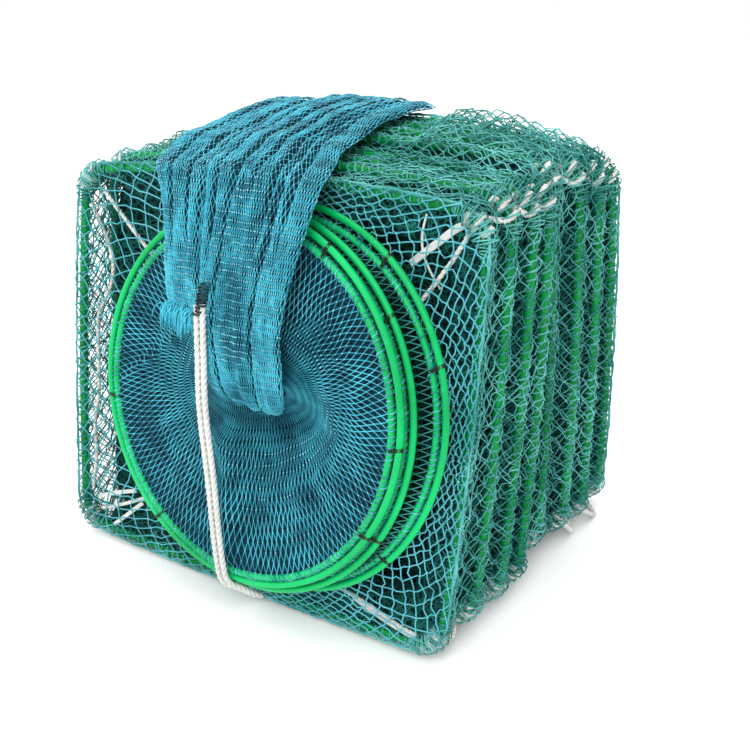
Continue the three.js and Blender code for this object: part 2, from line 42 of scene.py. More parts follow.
origin = Vector((18.9, 92.3, 0))
turnRound = 2 * math.pi


# The frames, in millimetres between bar centre lines; one row for each frame from the mouth to the back:
# across, depth, lift, lean, turn, roll, crown
bars = {
    "width": 400, "height": 347, "corner": 24, "radius": 3.75,
    "sideBow": 4, "footBow": 5, "leftDrop": 3.5, "stand": 12,
}
stackRows = [
    (0, 0, 1, 12.8, 1.3, 0, 11),
    (7, 36, 3, 9.9, 0.9, 0.2, 12),
    (13, 69, 0, 7.1, 0.6, 0, 12),
    (17, 94, 0, 5.2, 0.4, 0, 12),
    (13, 129, 5, 2.3, 0, 1.4, 12),
    (23, 164, 3, -0.5, -0.3, 0.8, 16),
    (30, 193, 1, -2.8, -0.6, 0.2, 20),
    (32, 229, 0, -5.9, -1.0, 0, 23),
]


def framePose(row):
    across, depth, lift, lean, turn, roll, crown = row
    lean, turn, roll = math.radians(lean), math.radians(turn), math.radians(roll)
    height = bars["stand"] + lift + bars["height"] / 2 * math.cos(lean)
    turned = Matrix.Rotation(turn, 4, "Z") @ Matrix.Rotation(-lean, 4, "X") @ Matrix.Rotation(-roll, 4, "Y")
    return Matrix.Scale(mm, 4) @ Matrix.Translation(Vector((across, depth, height)) - origin) @ turned


framePoses = [framePose(row) for row in stackRows]
frontNormal = (framePoses[0].to_3x3() @ Vector((0, -1, 0))).normalized()


def framePoint(index, x, z, forward=0.0):
    return framePoses[index] @ Vector((x, -forward, z))


# Point of a frame's outline and the way out of it, by its share of the way round from the foot's middle
def outlineAt(share, grow=0.0, crown=0.0):
    halfX, halfZ, corner = bars["width"] / 2, bars["height"] / 2, bars["corner"]
    flats = (halfX - corner, halfZ - corner)
    deeps = (halfZ, halfX)
    quarter = math.pi / 2 * corner
    whole = 4 * (flats[0] + flats[1] + quarter)
    along = ((share % 1) * whole + flats[0]) % whole
    for side in range(4):
        facing = math.radians(90 * side - 90)
        out = Vector((math.cos(facing), math.sin(facing)))
        way = Vector((-out.y, out.x))
        flat, deep = flats[side % 2], deeps[side % 2]
        if along <= 2 * flat:
            point = out * deep + way * (along - flat)
            break
        along -= 2 * flat
        if along <= quarter:
            angle = facing + along / corner
            middle = out * (deep - corner) + way * flat
            out = Vector((math.cos(angle), math.sin(angle)))
            point = middle + out * corner
            break
        along -= quarter
    x, z = point + out * grow
    acrossShare = max(0.0, 1 - (x / (halfX + grow)) ** 2)
    upShare = max(0.0, 1 - (z / (halfZ + grow)) ** 2)
    bow = crown if z > 0 else -bars["footBow"]
    drop = bars["leftDrop"] * (0.5 - x / bars["width"]) if z > 0 else 0.0
    x += math.copysign(bars["sideBow"] * upShare, x)
    return Vector((x, z + bow * acrossShare - drop)), out


# The hoops stand in the first frame's plane: across, up, radiusX, radiusZ, forward, lean, turn
hoops = {"wire": 2.75, "step": 7.6, "hang": 1.7, "gap": 0.35, "laceInset": 1, "beside": 4.0}
hoopRows = {
    "rear": (41.3, 5.8, 153, 161, 15, 1.2, -2.2),
    "middle": (21.6, 1.1, 152, 160, 25, 1.5, -2.6),
    "front": (14.3, 3.4, 153, 157, 34, 0.9, -2.4),
}


def hoopPoint(name, angle, inset=0.0, forward=0.0):
    across, up, radiusX, radiusZ, ahead, lean, turn = hoopRows[name]
    x = (radiusX - inset) * math.cos(angle)
    z = (radiusZ - inset) * math.sin(angle) - hoops["hang"] * min(1, inset / hoops["step"])
    turned = Matrix.Rotation(math.radians(turn), 3, "Z") @ Matrix.Rotation(-math.radians(lean), 3, "X")
    offset = turned @ Vector((x, -forward, z))
    return framePoint(0, across + offset.x, up + offset.z, ahead - offset.y)


# Smooth path through given points, its steps evenly long
def smoothPath(points, steps, closed=False):
    count = len(points)
    fine = []
    for index in range(count if closed else count - 1):
        if closed:
            a, b, c, d = (points[(index + k) % count] for k in (-1, 0, 1, 2))
        else:
            b, c = points[index], points[index + 1]
            a = points[index - 1] if index > 0 else b * 2 - c
            d = points[index + 2] if index + 2 < count else c * 2 - b
        knots = [0.0]
        for start, end in ((a, b), (b, c), (c, d)):
            knots.append(knots[-1] + max((end - start).length, 1e-9) ** 0.5)
        k0, k1, k2, k3 = knots
        for part in range(12):
            t = k1 + (k2 - k1) * part / 12
            ab = a * ((k1 - t) / (k1 - k0)) + b * ((t - k0) / (k1 - k0))
            bc = b * ((k2 - t) / (k2 - k1)) + c * ((t - k1) / (k2 - k1))
            cd = c * ((k3 - t) / (k3 - k2)) + d * ((t - k2) / (k3 - k2))
            left = ab * ((k2 - t) / (k2 - k0)) + bc * ((t - k0) / (k2 - k0))
            right = bc * ((k3 - t) / (k3 - k1)) + cd * ((t - k1) / (k3 - k1))
            fine.append(left * ((k2 - t) / (k2 - k1)) + right * ((t - k1) / (k2 - k1)))
    fine.append(points[0].copy() if closed else points[-1].copy())
    lengths = [0.0]
    for start, end in zip(fine, fine[1:]):
        lengths.append(lengths[-1] + (end - start).length)
    spaced = []
    for step in range(steps if closed else steps + 1):
        want = lengths[-1] * step / steps
        index = min(max(bisect.bisect_right(lengths, want) - 1, 0), len(fine) - 2)
        span = max(lengths[index + 1] - lengths[index], 1e-12)
        spaced.append(fine[index].lerp(fine[index + 1], (want - lengths[index]) / span))
    return spaced


def pathLength(points):
    return sum((b - a).length for a, b in zip(points, points[1:]))


# Camera at the photographed side, from the fit to the frames' corners
view = {
    "place": (443.9, -613.1, 533.8), "azimuth": 32.86, "elevation": 26.20, "roll": -2.03,
    "lens": 43.2, "sensor": 36,
}


def addCamera():
    azimuth, elevation, roll = (math.radians(view[key]) for key in ("azimuth", "elevation", "roll"))
    back = Vector((math.sin(azimuth) * math.cos(elevation), -math.cos(azimuth) * math.cos(elevation),
                   math.sin(elevation)))
    right = Vector((math.cos(azimuth), math.sin(azimuth), 0))
    up = back.cross(right)
    sideways = right * math.cos(roll) + up * math.sin(roll)
    upright = up * math.cos(roll) - right * math.sin(roll)
    data = bpy.data.cameras.new("camera")
    data.sensor_fit = "HORIZONTAL"
    data.sensor_width = view["sensor"]
    data.lens = view["lens"]
    data.clip_start = 0.05
    camera = bpy.data.objects.new("camera", data)
    turned = Matrix((sideways, upright, back)).transposed().to_4x4()
    camera.matrix_world = Matrix.Translation(Vector(view["place"]) * mm) @ turned
    bpy.context.scene.collection.objects.link(camera)
    bpy.context.scene.camera = camera


addCamera()
print("camera set")


# Shader groups: each gives a colour, a roughness and a height that change over the surface
def newShaderGroup(name, inputs):
    tree = bpy.data.node_groups.new(name, "ShaderNodeTree")
    for label, kind, value in inputs:
        socket = tree.interface.new_socket(label, in_out="INPUT", socket_type="NodeSocket" + kind)
        socket.default_value = value
    for label, kind in (("Color", "Color"), ("Roughness", "Float"), ("Height", "Float")):
        tree.interface.new_socket(label, in_out="OUTPUT", socket_type="NodeSocket" + kind)
    return tree, tree.nodes.new("NodeGroupInput"), tree.nodes.new("NodeGroupOutput")


def addNoise(tree, vector, scale, detail):
    node = tree.nodes.new("ShaderNodeTexNoise")
    node.inputs["Detail"].default_value = detail
    tree.links.new(vector, node.inputs["Vector"])
    tree.links.new(scale, node.inputs["Scale"])
    return node.outputs["Fac"]


def addRange(tree, value, fromLow, fromHigh, low, high):
    node = tree.nodes.new("ShaderNodeMapRange")
    tree.links.new(value, node.inputs["Value"])
    for key, number in (("From Min", fromLow), ("From Max", fromHigh), ("To Min", low), ("To Max", high)):
        if isinstance(number, bpy.types.NodeSocket):
            tree.links.new(number, node.inputs[key])
        else:
            node.inputs[key].default_value = number
    return node.outputs["Result"]


def addMix(tree, share, first, second, blend="MIX"):
    node = tree.nodes.new("ShaderNodeMix")
    node.data_type = "RGBA"
    node.blend_type = blend
    if isinstance(share, bpy.types.NodeSocket):
        tree.links.new(share, node.inputs[0])
    else:
        node.inputs[0].default_value = share
    tree.links.new(first, node.inputs[6])
    tree.links.new(second, node.inputs[7])
    return node.outputs[2]


def makeTwineMottle():
    tree, start, end = newShaderGroup("twineMottle", [
        ("Light", "Color", (1, 1, 1, 1)), ("Dark", "Color", (0, 0, 0, 1)),
        ("Patch Scale", "Float", 30.0), ("Strand Scale", "Float", 900.0), ("Speckle", "Float", 0.3),
    ])
    place = tree.nodes.new("ShaderNodeTexCoord").outputs["Object"]
    patch = addNoise(tree, place, start.outputs["Patch Scale"], 4)
    strand = addNoise(tree, place, start.outputs["Strand Scale"], 2)
    share = addRange(tree, patch, 0.36, 0.64, 0, 1)
    colour = addMix(tree, share, start.outputs["Dark"], start.outputs["Light"])
    shade = addRange(tree, strand, 0.3, 0.7, 0.55, 1.35)
    speckled = addMix(tree, start.outputs["Speckle"], colour, shade, "MULTIPLY")
    tree.links.new(speckled, end.inputs["Color"])
    tree.links.new(addRange(tree, strand, 0.3, 0.7, 0.45, 0.75), end.inputs["Roughness"])
    tree.links.new(strand, end.inputs["Height"])
    return tree


def makeCoatWear():
    tree, start, end = newShaderGroup("coatWear", [
        ("Coat", "Color", (1, 1, 1, 1)), ("Deep Coat", "Color", (0, 0, 0, 1)), ("Scuff", "Color", (1, 1, 1, 1)),
        ("Patch Scale", "Float", 12.0), ("Scuff Scale", "Float", 160.0), ("Scuffing", "Float", 0.2),
    ])
    place = tree.nodes.new("ShaderNodeTexCoord").outputs["Object"]
    patch = addNoise(tree, place, start.outputs["Patch Scale"], 3)
    scuff = addNoise(tree, place, start.outputs["Scuff Scale"], 5)
    colour = addMix(tree, addRange(tree, patch, 0.35, 0.65, 0, 1), start.outputs["Deep Coat"],
                    start.outputs["Coat"])
    mask = addRange(tree, scuff, 0.58, 0.72, 0, start.outputs["Scuffing"])
    worn = addMix(tree, mask, colour, start.outputs["Scuff"])
    tree.links.new(worn, end.inputs["Color"])
    tree.links.new(addRange(tree, scuff, 0.35, 0.7, 0.22, 0.5), end.inputs["Roughness"])
    tree.links.new(scuff, end.inputs["Height"])
    return tree


# Fibre lines run along the laid strands, on the rope's own map: u round it, v along it; the grooves between them
# are darker, as painted shade
def makeRopeFibre():
    tree, start, end = newShaderGroup("ropeFibre", [
        ("Fibre", "Color", (1, 1, 1, 1)), ("Groove Shade", "Color", (0.5, 0.5, 0.5, 1)),
        ("Fibre Scale", "Float", 60.0), ("Stain Scale", "Float", 25.0), ("Stain", "Float", 0.3),
    ])
    own = tree.nodes.new("ShaderNodeUVMap").outputs["UV"]
    place = tree.nodes.new("ShaderNodeTexCoord").outputs["Object"]
    stretch = tree.nodes.new("ShaderNodeMapping")
    stretch.inputs["Scale"].default_value = (1, 0.22, 1)
    stretch.inputs["Rotation"].default_value = (0, 0, 0.6)
    tree.links.new(own, stretch.inputs["Vector"])
    fibre = addNoise(tree, stretch.outputs["Vector"], start.outputs["Fibre Scale"], 3)
    stain = addNoise(tree, place, start.outputs["Stain Scale"], 4)
    colour = addMix(tree, addRange(tree, fibre, 0.3, 0.6, 0, 1), start.outputs["Groove Shade"], start.outputs["Fibre"])
    shade = addRange(tree, stain, 0.35, 0.65, 0.7, 1.0)
    tree.links.new(addMix(tree, start.outputs["Stain"], colour, shade, "MULTIPLY"), end.inputs["Color"])
    tree.links.new(addRange(tree, fibre, 0.3, 0.7, 0.85, 0.65), end.inputs["Roughness"])
    tree.links.new(fibre, end.inputs["Height"])
    return tree


# Crossing strands of the deeper net layers, painted in shade: two webs of thin lines on a dark ground of painted
# shade
def makeDeepNetShade():
    tree, start, end = newShaderGroup("deepNetShade", [
        ("Strand", "Color", (1, 1, 1, 1)), ("Gap Shade", "Color", (0, 0, 0, 1)),
        ("Mesh Scale", "Float", 110.0), ("Patch Scale", "Float", 20.0), ("Strand Width", "Float", 0.09),
    ])
    place = tree.nodes.new("ShaderNodeTexCoord").outputs["Object"]
    patch = addNoise(tree, place, start.outputs["Patch Scale"], 3)
    lines = []
    for turn in (0.0, 0.9):
        turned = tree.nodes.new("ShaderNodeMapping")
        turned.inputs["Rotation"].default_value = (turn, 0.7 * turn, 1.1 * turn)
        turned.inputs["Location"].default_value = (turn, 2 * turn, 0)
        tree.links.new(place, turned.inputs["Vector"])
        web = tree.nodes.new("ShaderNodeTexVoronoi")
        web.feature = "DISTANCE_TO_EDGE"
        tree.links.new(turned.outputs["Vector"], web.inputs["Vector"])
        tree.links.new(start.outputs["Mesh Scale"], web.inputs["Scale"])
        lines.append(addRange(tree, web.outputs["Distance"], 0.0, start.outputs["Strand Width"], 1.0, 0.0))
    both = tree.nodes.new("ShaderNodeMath")
    both.operation = "MAXIMUM"
    tree.links.new(lines[0], both.inputs[0])
    tree.links.new(lines[1], both.inputs[1])
    shown = tree.nodes.new("ShaderNodeMath")
    shown.operation = "MULTIPLY"
    tree.links.new(both.outputs[0], shown.inputs[0])
    tree.links.new(addRange(tree, patch, 0.35, 0.65, 0.35, 1.0), shown.inputs[1])
    strands = shown.outputs[0]
    tree.links.new(addMix(tree, strands, start.outputs["Gap Shade"], start.outputs["Strand"]), end.inputs["Color"])
    tree.links.new(addRange(tree, strands, 0.0, 1.0, 0.95, 0.6), end.inputs["Roughness"])
    tree.links.new(strands, end.inputs["Height"])
    return tree


shaderGroups = {"twine": makeTwineMottle(), "coat": makeCoatWear(), "rope": makeRopeFibre(),
                "deep": makeDeepNetShade()}


# What each finish is made of: its group's values, the shader's own constants, and its bump
finishes = {
    "bodyTwine": {
        "group": "twine",
        "values": {"Light": (0.12, 0.50, 0.47, 1), "Dark": (0.012, 0.22, 0.19, 1), "Patch Scale": 26.0,
                   "Strand Scale": 1100.0, "Speckle": 0.6},
        "shader": {"Specular IOR Level": 0.4}, "bump": (0.3, 0.0003),
    },
    # Lighter copy of the body twine for the knots: painted highlight
    "bodyKnotLit": {
        "group": "twine",
        "values": {"Light": (0.17, 0.56, 0.54, 1), "Dark": (0.04, 0.30, 0.27, 1), "Patch Scale": 26.0,
                   "Strand Scale": 1400.0, "Speckle": 0.6},
        "shader": {"Specular IOR Level": 0.4}, "bump": (0.4, 0.0003),
    },
    "shoulderTwine": {
        "group": "twine",
        "values": {"Light": (0.11, 0.50, 0.62, 1), "Dark": (0.03, 0.30, 0.33, 1), "Patch Scale": 12.0,
                   "Strand Scale": 1100.0, "Speckle": 0.5},
        "shader": {"Specular IOR Level": 0.45}, "bump": (0.3, 0.0003),
    },
    # Darker copy of the body twine for the inner nets: painted shade
    "innerTwineShaded": {
        "group": "twine",
        "values": {"Light": (0.04, 0.33, 0.28, 1), "Dark": (0.006, 0.12, 0.10, 1), "Patch Scale": 20.0,
                   "Strand Scale": 900.0, "Speckle": 0.6},
        "shader": {"Specular IOR Level": 0.3}, "bump": (0.2, 0.0003),
    },
    "foldShadow": {
        "group": "deep",
        "values": {"Strand": (0.015, 0.17, 0.14, 1), "Gap Shade": (0.001, 0.014, 0.014, 1), "Mesh Scale": 120.0,
                   "Patch Scale": 24.0, "Strand Width": 0.10},
        "shader": {"Specular IOR Level": 0.1}, "bump": (0.5, 0.001),
    },
    "tailTwine": {
        "group": "twine",
        "values": {"Light": (0.05, 0.52, 0.68, 1), "Dark": (0.002, 0.17, 0.26, 1), "Patch Scale": 42.0,
                   "Strand Scale": 1300.0, "Speckle": 0.8},
        "shader": {"Specular IOR Level": 0.5}, "bump": (0.3, 0.0003),
    },
    # Lighter copy of the tail twine for the knots: painted highlight
    "tailKnotLit": {
        "group": "twine",
        "values": {"Light": (0.24, 0.70, 0.80, 1), "Dark": (0.05, 0.42, 0.54, 1), "Patch Scale": 34.0,
                   "Strand Scale": 1500.0, "Speckle": 0.5},
        "shader": {"Specular IOR Level": 0.5}, "bump": (0.4, 0.0003),
    },
    # Dark ground with thin strands for the tail's deeper layers: painted shade
    "tailUnderShade": {
        "group": "deep",
        "values": {"Strand": (0.004, 0.13, 0.18, 1), "Gap Shade": (0.0004, 0.012, 0.022, 1), "Mesh Scale": 300.0,
                   "Patch Scale": 45.0, "Strand Width": 0.08},
        "shader": {"Specular IOR Level": 0.2}, "bump": (0.6, 0.0008),
    },
    "darkTie": {
        "group": "twine",
        "values": {"Light": (0.006, 0.07, 0.08, 1), "Dark": (0.001, 0.015, 0.02, 1), "Patch Scale": 60.0,
                   "Strand Scale": 1500.0, "Speckle": 0.5},
        "shader": {"Specular IOR Level": 0.4}, "bump": (0.4, 0.0003),
    },
    "lacingTwine": {
        "group": "twine",
        "values": {"Light": (0.14, 0.55, 0.66, 1), "Dark": (0.01, 0.18, 0.24, 1), "Patch Scale": 90.0,
                   "Strand Scale": 1500.0, "Speckle": 0.5},
        "shader": {"Specular IOR Level": 0.4}, "bump": (0.3, 0.0003),
    },
    "blackThread": {
        "group": "twine",
        "values": {"Light": (0.02, 0.02, 0.022, 1), "Dark": (0.004, 0.004, 0.005, 1), "Patch Scale": 60.0,
                   "Strand Scale": 1600.0, "Speckle": 0.5},
        "shader": {"Specular IOR Level": 0.4}, "bump": (0.3, 0.0003),
    },
    "frameCoat": {
        "group": "coat",
        "values": {"Coat": (0.0, 0.27, 0.05, 1), "Deep Coat": (0.0, 0.14, 0.03, 1),
                   "Scuff": (0.01, 0.34, 0.12, 1), "Patch Scale": 9.0, "Scuff Scale": 140.0, "Scuffing": 0.4},
        "shader": {"Specular IOR Level": 0.15},
        "bump": (0.12, 0.0004),
    },
    "hoopCoat": {
        "group": "coat",
        "values": {"Coat": (0.0, 0.52, 0.14, 1), "Deep Coat": (0.0, 0.34, 0.085, 1),
                   "Scuff": (0.01, 0.58, 0.24, 1), "Patch Scale": 11.0, "Scuff Scale": 180.0, "Scuffing": 0.35},
        "shader": {"Specular IOR Level": 0.15, "Coat Weight": 0.12, "Coat Roughness": 0.12},
        "bump": (0.06, 0.0003),
    },
    "whiteRope": {
        "group": "rope",
        "values": {"Fibre": (0.86, 0.86, 0.82, 1), "Groove Shade": (0.52, 0.53, 0.50, 1), "Fibre Scale": 55.0,
                   "Stain Scale": 30.0, "Stain": 0.5},
        "shader": {"Specular IOR Level": 0.3, "Sheen Weight": 0.15}, "bump": (0.5, 0.0004),
    },
    "floorCard": {
        "group": "twine",
        "values": {"Light": (0.99, 0.99, 0.99, 1), "Dark": (0.975, 0.975, 0.975, 1), "Patch Scale": 2.0,
                   "Strand Scale": 300.0, "Speckle": 0.02},
        "shader": {"Specular IOR Level": 0.1}, "bump": (0.02, 0.0002),
    },
}


def makeMaterial(name, recipe):
    material = bpy.data.materials.new(name)
    material.use_nodes = True
    tree = material.node_tree
    shader = tree.nodes["Principled BSDF"]
    for key, value in recipe["shader"].items():
        shader.inputs[key].default_value = value
    group = tree.nodes.new("ShaderNodeGroup")
    group.node_tree = shaderGroups[recipe["group"]]
    for key, value in recipe["values"].items():
        group.inputs[key].default_value = value
    bump = tree.nodes.new("ShaderNodeBump")
    strength, distance = recipe["bump"]
    bump.inputs["Strength"].default_value = strength
    bump.inputs["Distance"].default_value = distance
    tree.links.new(group.outputs["Color"], shader.inputs["Base Color"])
    tree.links.new(group.outputs["Roughness"], shader.inputs["Roughness"])
    tree.links.new(group.outputs["Height"], bump.inputs["Height"])
    tree.links.new(bump.outputs["Normal"], shader.inputs["Normal"])
    return material


materials = {name: makeMaterial(name, recipe) for name, recipe in finishes.items()}
print("finishes made")


# A piece in its place: it rides with the trap and stands for its plain solids
def addPiece(name, mesh, materialName, standsFor=()):
    if not mesh.materials:
        mesh.materials.append(materials[materialName])
    piece = bpy.data.objects.new(name, mesh)
    bpy.context.scene.collection.objects.link(piece)
    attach(piece, "root")
    if standsFor:
        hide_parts(*standsFor)
    return piece


def toMesh(name, bm, smooth=True):
    mesh = bpy.data.meshes.new(name)
    bm.to_mesh(mesh)
    bm.free()
    if smooth:
        mesh.shade_smooth()
    return mesh


# Round bar, wire or rope along a path; lobes are a laid rope's strands, lay the length of one turn
def tubeMesh(name, points, radius, sides=12, closed=False, lobes=0, lobeDepth=0.0, lay=1.0, ease=0.0):
    count = len(points)
    rows = count if closed else count - 1
    tangents = []
    for index in range(count):
        before = points[(index - 1) % count] if closed or index > 0 else points[index]
        after = points[(index + 1) % count] if closed or index < count - 1 else points[index]
        tangents.append((after - before).normalized())
    first = tangents[0].orthogonal().normalized()
    carried = [first]
    for index in range(1, count):
        turned = tangents[index - 1].rotation_difference(tangents[index])
        side = turned @ carried[-1]
        carried.append((side - tangents[index] * side.dot(tangents[index])).normalized())
    spare = 0.0
    if closed:
        last = tangents[-1].rotation_difference(tangents[0]) @ carried[-1]
        spare = math.atan2(last.cross(first).dot(tangents[0]), last.dot(first))
    lengths = [0.0]
    for start, end in zip(points, points[1:]):
        lengths.append(lengths[-1] + (end - start).length)
    whole = lengths[-1] + ((points[0] - points[-1]).length if closed else 0.0)
    bm = bmesh.new()
    bmesh.ops.create_grid(bm, x_segments=sides, y_segments=rows, size=0.5)
    layer = bm.loops.layers.uv.new("along")
    for face in bm.faces:
        for corner in face.loops:
            corner[layer].uv = (corner.vert.co.x + 0.5, (corner.vert.co.y + 0.5) * whole * 100)
    for vert in bm.verts:
        index = round((vert.co.y + 0.5) * rows)
        along = lengths[index] if index < count else whole
        angle = turnRound * (vert.co.x + 0.5)
        swell = 1 - lobeDepth * (1 - abs(math.cos(lobes / 2 * angle))) if lobes else 1.0
        if ease:
            swell *= min(1.0, 0.35 + min(along, whole - along) / ease)
        turn = angle + turnRound * along / lay + spare * index / rows
        side = carried[index % count]
        up = tangents[index % count].cross(side)
        vert.co = points[index % count] + (side * math.cos(turn) + up * math.sin(turn)) * radius * swell
    bmesh.ops.remove_doubles(bm, verts=bm.verts, dist=radius * 0.01)
    if not closed:
        bmesh.ops.holes_fill(bm, edges=[edge for edge in bm.edges if edge.is_boundary], sides=0)
    bmesh.ops.recalc_face_normals(bm, faces=bm.faces)
    return toMesh(name, bm)


# Geometry group that lays a twine along both ways of a wire net and ties a knot at every tied point
def makeTwineTubes():
    tree = bpy.data.node_groups.new("twineTubes", "GeometryNodeTree")
    sockets = [
        ("Net", "NodeSocketGeometry"), ("Radius", "NodeSocketFloat"), ("Sides", "NodeSocketInt"),
        ("Knot Radius", "NodeSocketFloat"), ("Knotted", "NodeSocketBool"),
        ("Twine", "NodeSocketMaterial"), ("Knot", "NodeSocketMaterial"),
    ]
    for label, kind in sockets:
        tree.interface.new_socket(label, in_out="INPUT", socket_type=kind)
    tree.interface.new_socket("Net", in_out="OUTPUT", socket_type="NodeSocketGeometry")
    make, link = tree.nodes.new, tree.links.new
    start, end = make("NodeGroupInput"), make("NodeGroupOutput")
    slant, tied = make("GeometryNodeInputNamedAttribute"), make("GeometryNodeInputNamedAttribute")
    drawn = make("GeometryNodeInputNamedAttribute")
    drawn.data_type = "FLOAT"
    drawn.inputs["Name"].default_value = "drawn"
    for node, label in ((slant, "slant"), (tied, "tied")):
        node.data_type = "BOOLEAN"
        node.inputs["Name"].default_value = label
    otherWay = make("FunctionNodeBooleanMath")
    otherWay.operation = "NOT"
    lines, otherLines, allLines = make("GeometryNodeMeshToCurve"), make("GeometryNodeMeshToCurve"), \
        make("GeometryNodeJoinGeometry")
    section = make("GeometryNodeCurvePrimitiveCircle")
    tubes = make("GeometryNodeCurveToMesh")
    tubes.inputs["Fill Caps"].default_value = True
    twinePaint, knotPaint = make("GeometryNodeSetMaterial"), make("GeometryNodeSetMaterial")
    ball = make("GeometryNodeMeshUVSphere")
    ball.inputs["Segments"].default_value = 4
    ball.inputs["Rings"].default_value = 2
    place = make("GeometryNodeInstanceOnPoints")
    spin, size = make("FunctionNodeRandomValue"), make("FunctionNodeRandomValue")
    spin.data_type, size.data_type = "FLOAT_VECTOR", "FLOAT_VECTOR"
    spin.inputs["Min"].default_value = (0, 0, 0)
    spin.inputs["Max"].default_value = (3, 3, 3)
    spin.inputs["Seed"].default_value = 3
    size.inputs["Min"].default_value = (0.8, 0.8, 0.8)
    size.inputs["Max"].default_value = (1.3, 1.3, 1.3)
    size.inputs["Seed"].default_value = 7
    real, join, choose = make("GeometryNodeRealizeInstances"), make("GeometryNodeJoinGeometry"), \
        make("GeometryNodeSwitch")
    choose.input_type = "GEOMETRY"
    link(slant.outputs["Attribute"], otherWay.inputs[0])
    link(slant.outputs["Attribute"], lines.inputs["Selection"])
    link(otherWay.outputs["Boolean"], otherLines.inputs["Selection"])
    for node in (lines, otherLines):
        link(start.outputs["Net"], node.inputs["Mesh"])
        link(node.outputs["Curve"], allLines.inputs["Geometry"])
    link(start.outputs["Sides"], section.inputs["Resolution"])
    link(start.outputs["Radius"], section.inputs["Radius"])
    link(allLines.outputs["Geometry"], tubes.inputs["Curve"])
    link(section.outputs["Curve"], tubes.inputs["Profile Curve"])
    link(drawn.outputs["Attribute"], tubes.inputs["Scale"])
    link(tubes.outputs["Mesh"], twinePaint.inputs["Geometry"])
    link(start.outputs["Twine"], twinePaint.inputs["Material"])
    link(start.outputs["Net"], place.inputs["Points"])
    link(tied.outputs["Attribute"], place.inputs["Selection"])
    link(start.outputs["Knot Radius"], ball.inputs["Radius"])
    link(ball.outputs["Mesh"], place.inputs["Instance"])
    link(spin.outputs["Value"], place.inputs["Rotation"])
    link(size.outputs["Value"], place.inputs["Scale"])
    link(place.outputs["Instances"], real.inputs["Geometry"])
    link(real.outputs["Geometry"], knotPaint.inputs["Geometry"])
    link(start.outputs["Knot"], knotPaint.inputs["Material"])
    link(start.outputs["Knotted"], choose.inputs["Switch"])
    link(knotPaint.outputs["Geometry"], choose.inputs["True"])
    link(choose.outputs["Output"], join.inputs["Geometry"])
    link(twinePaint.outputs["Geometry"], join.inputs["Geometry"])
    link(join.outputs["Geometry"], end.inputs["Net"])
    return tree


twineTubes = makeTwineTubes()


# Turns a wire mesh into twine, as a plain mesh
def twineMesh(name, bm, radius, sides=3, knotRadius=0.0, twine="bodyTwine", knot="bodyKnotLit"):
    wires = bpy.data.objects.new(name + "Wires", toMesh(name + "Wires", bm, smooth=False))
    bpy.context.scene.collection.objects.link(wires)
    modifier = wires.modifiers.new("twine", "NODES")
    modifier.node_group = twineTubes
    values = {"Radius": radius, "Sides": sides, "Knot Radius": knotRadius, "Knotted": knotRadius > 0,
              "Twine": materials[twine], "Knot": materials[knot]}
    for item in twineTubes.interface.items_tree:
        if item.in_out == "INPUT" and item.name in values:
            modifier[item.identifier] = values[item.name]
    bpy.context.view_layer.update()
    made = wires.evaluated_get(bpy.context.evaluated_depsgraph_get())
    mesh = bpy.data.meshes.new_from_object(made)
    mesh.name = name
    bpy.data.objects.remove(wires)
    mesh.shade_smooth()
    return mesh


# Diamond net: the middle and corners of every cell of a grid, joined; place(u, v) puts a knot in space.
# The twines of each way are marked, so that each runs on as one strand; bend lets them sway between knots,
# knots are tied up to tiedTo of the way, and towards the end the twines draw in to thinTo of their radius
def netWires(columns, rows, place, bend=0.0, tiedTo=1.0, thinTo=1.0):
    bm = bmesh.new()
    bmesh.ops.create_grid(bm, x_segments=columns, y_segments=rows, size=0.5)
    outlines = list(bm.edges)
    bmesh.ops.poke(bm, faces=bm.faces)
    bmesh.ops.delete(bm, geom=outlines, context="EDGES")
    if bend:
        bmesh.ops.subdivide_edges(bm, edges=bm.edges, cuts=1)
    slant = bm.edges.layers.bool.new("slant")
    tied = bm.verts.layers.bool.new("tied")
    drawn = bm.verts.layers.float.new("drawn")
    for edge in bm.edges:
        along = edge.verts[1].co - edge.verts[0].co
        edge[slant] = along.x * along.y > 0
    for vert in bm.verts:
        u, v = vert.co.x + 0.5, vert.co.y + 0.5
        half = u * columns * 2
        vert[tied] = abs(half - round(half)) < 0.2 and v <= tiedTo
        vert[drawn] = 1 + (thinTo - 1) * smoothstep((v - 0.4) / 0.5)
        vert.co = place(u, v)
        if not vert[tied]:
            vert.co += noise.noise_vector(vert.co * 400) * bend
            vert.co.z = max(vert.co.z, bodyNet["lowest"] * mm)
    bmesh.ops.remove_doubles(bm, verts=bm.verts, dist=0.00005)
    return bm


# Threads as chains of points
def threadWires(paths, closed=False):
    bm = bmesh.new()
    drawn = bm.verts.layers.float.new("drawn")
    for path in paths:
        verts = [bm.verts.new(point) for point in path]
        for vert in verts:
            vert[drawn] = 1.0
        for start, end in zip(verts, verts[1:]):
            bm.edges.new((start, end))
        if closed:
            bm.edges.new((verts[-1], verts[0]))
    return bm


def shaken(point, scale, amount, seed=0.0):
    moved = noise.noise_vector(Vector((point.x, point.y, point.z)) * scale + Vector((seed, -seed, seed)))
    return point + moved * amount


# Doubled rope that holds the tail down: across, up, forward in the first frame's plane
tieRope = {"radius": 2.75, "spacing": 6, "rise": 1.5, "lay": 17, "lobeDepth": 0.3}
tieRows = [
    (-13, 82, 59.6), (-10.5, 66, 61.6), (-9, 42, 61.2), (-8, 0, 58.5), (-1, -61, 53.5), (4.5, -121.5, 48),
    (7, -142, 45.8), (9, -153, 44.2), (11.5, -160.5, 40), (15.5, -167, 30), (20.5, -175, 19.5),
    (24.5, -180.5, 11.2),
]


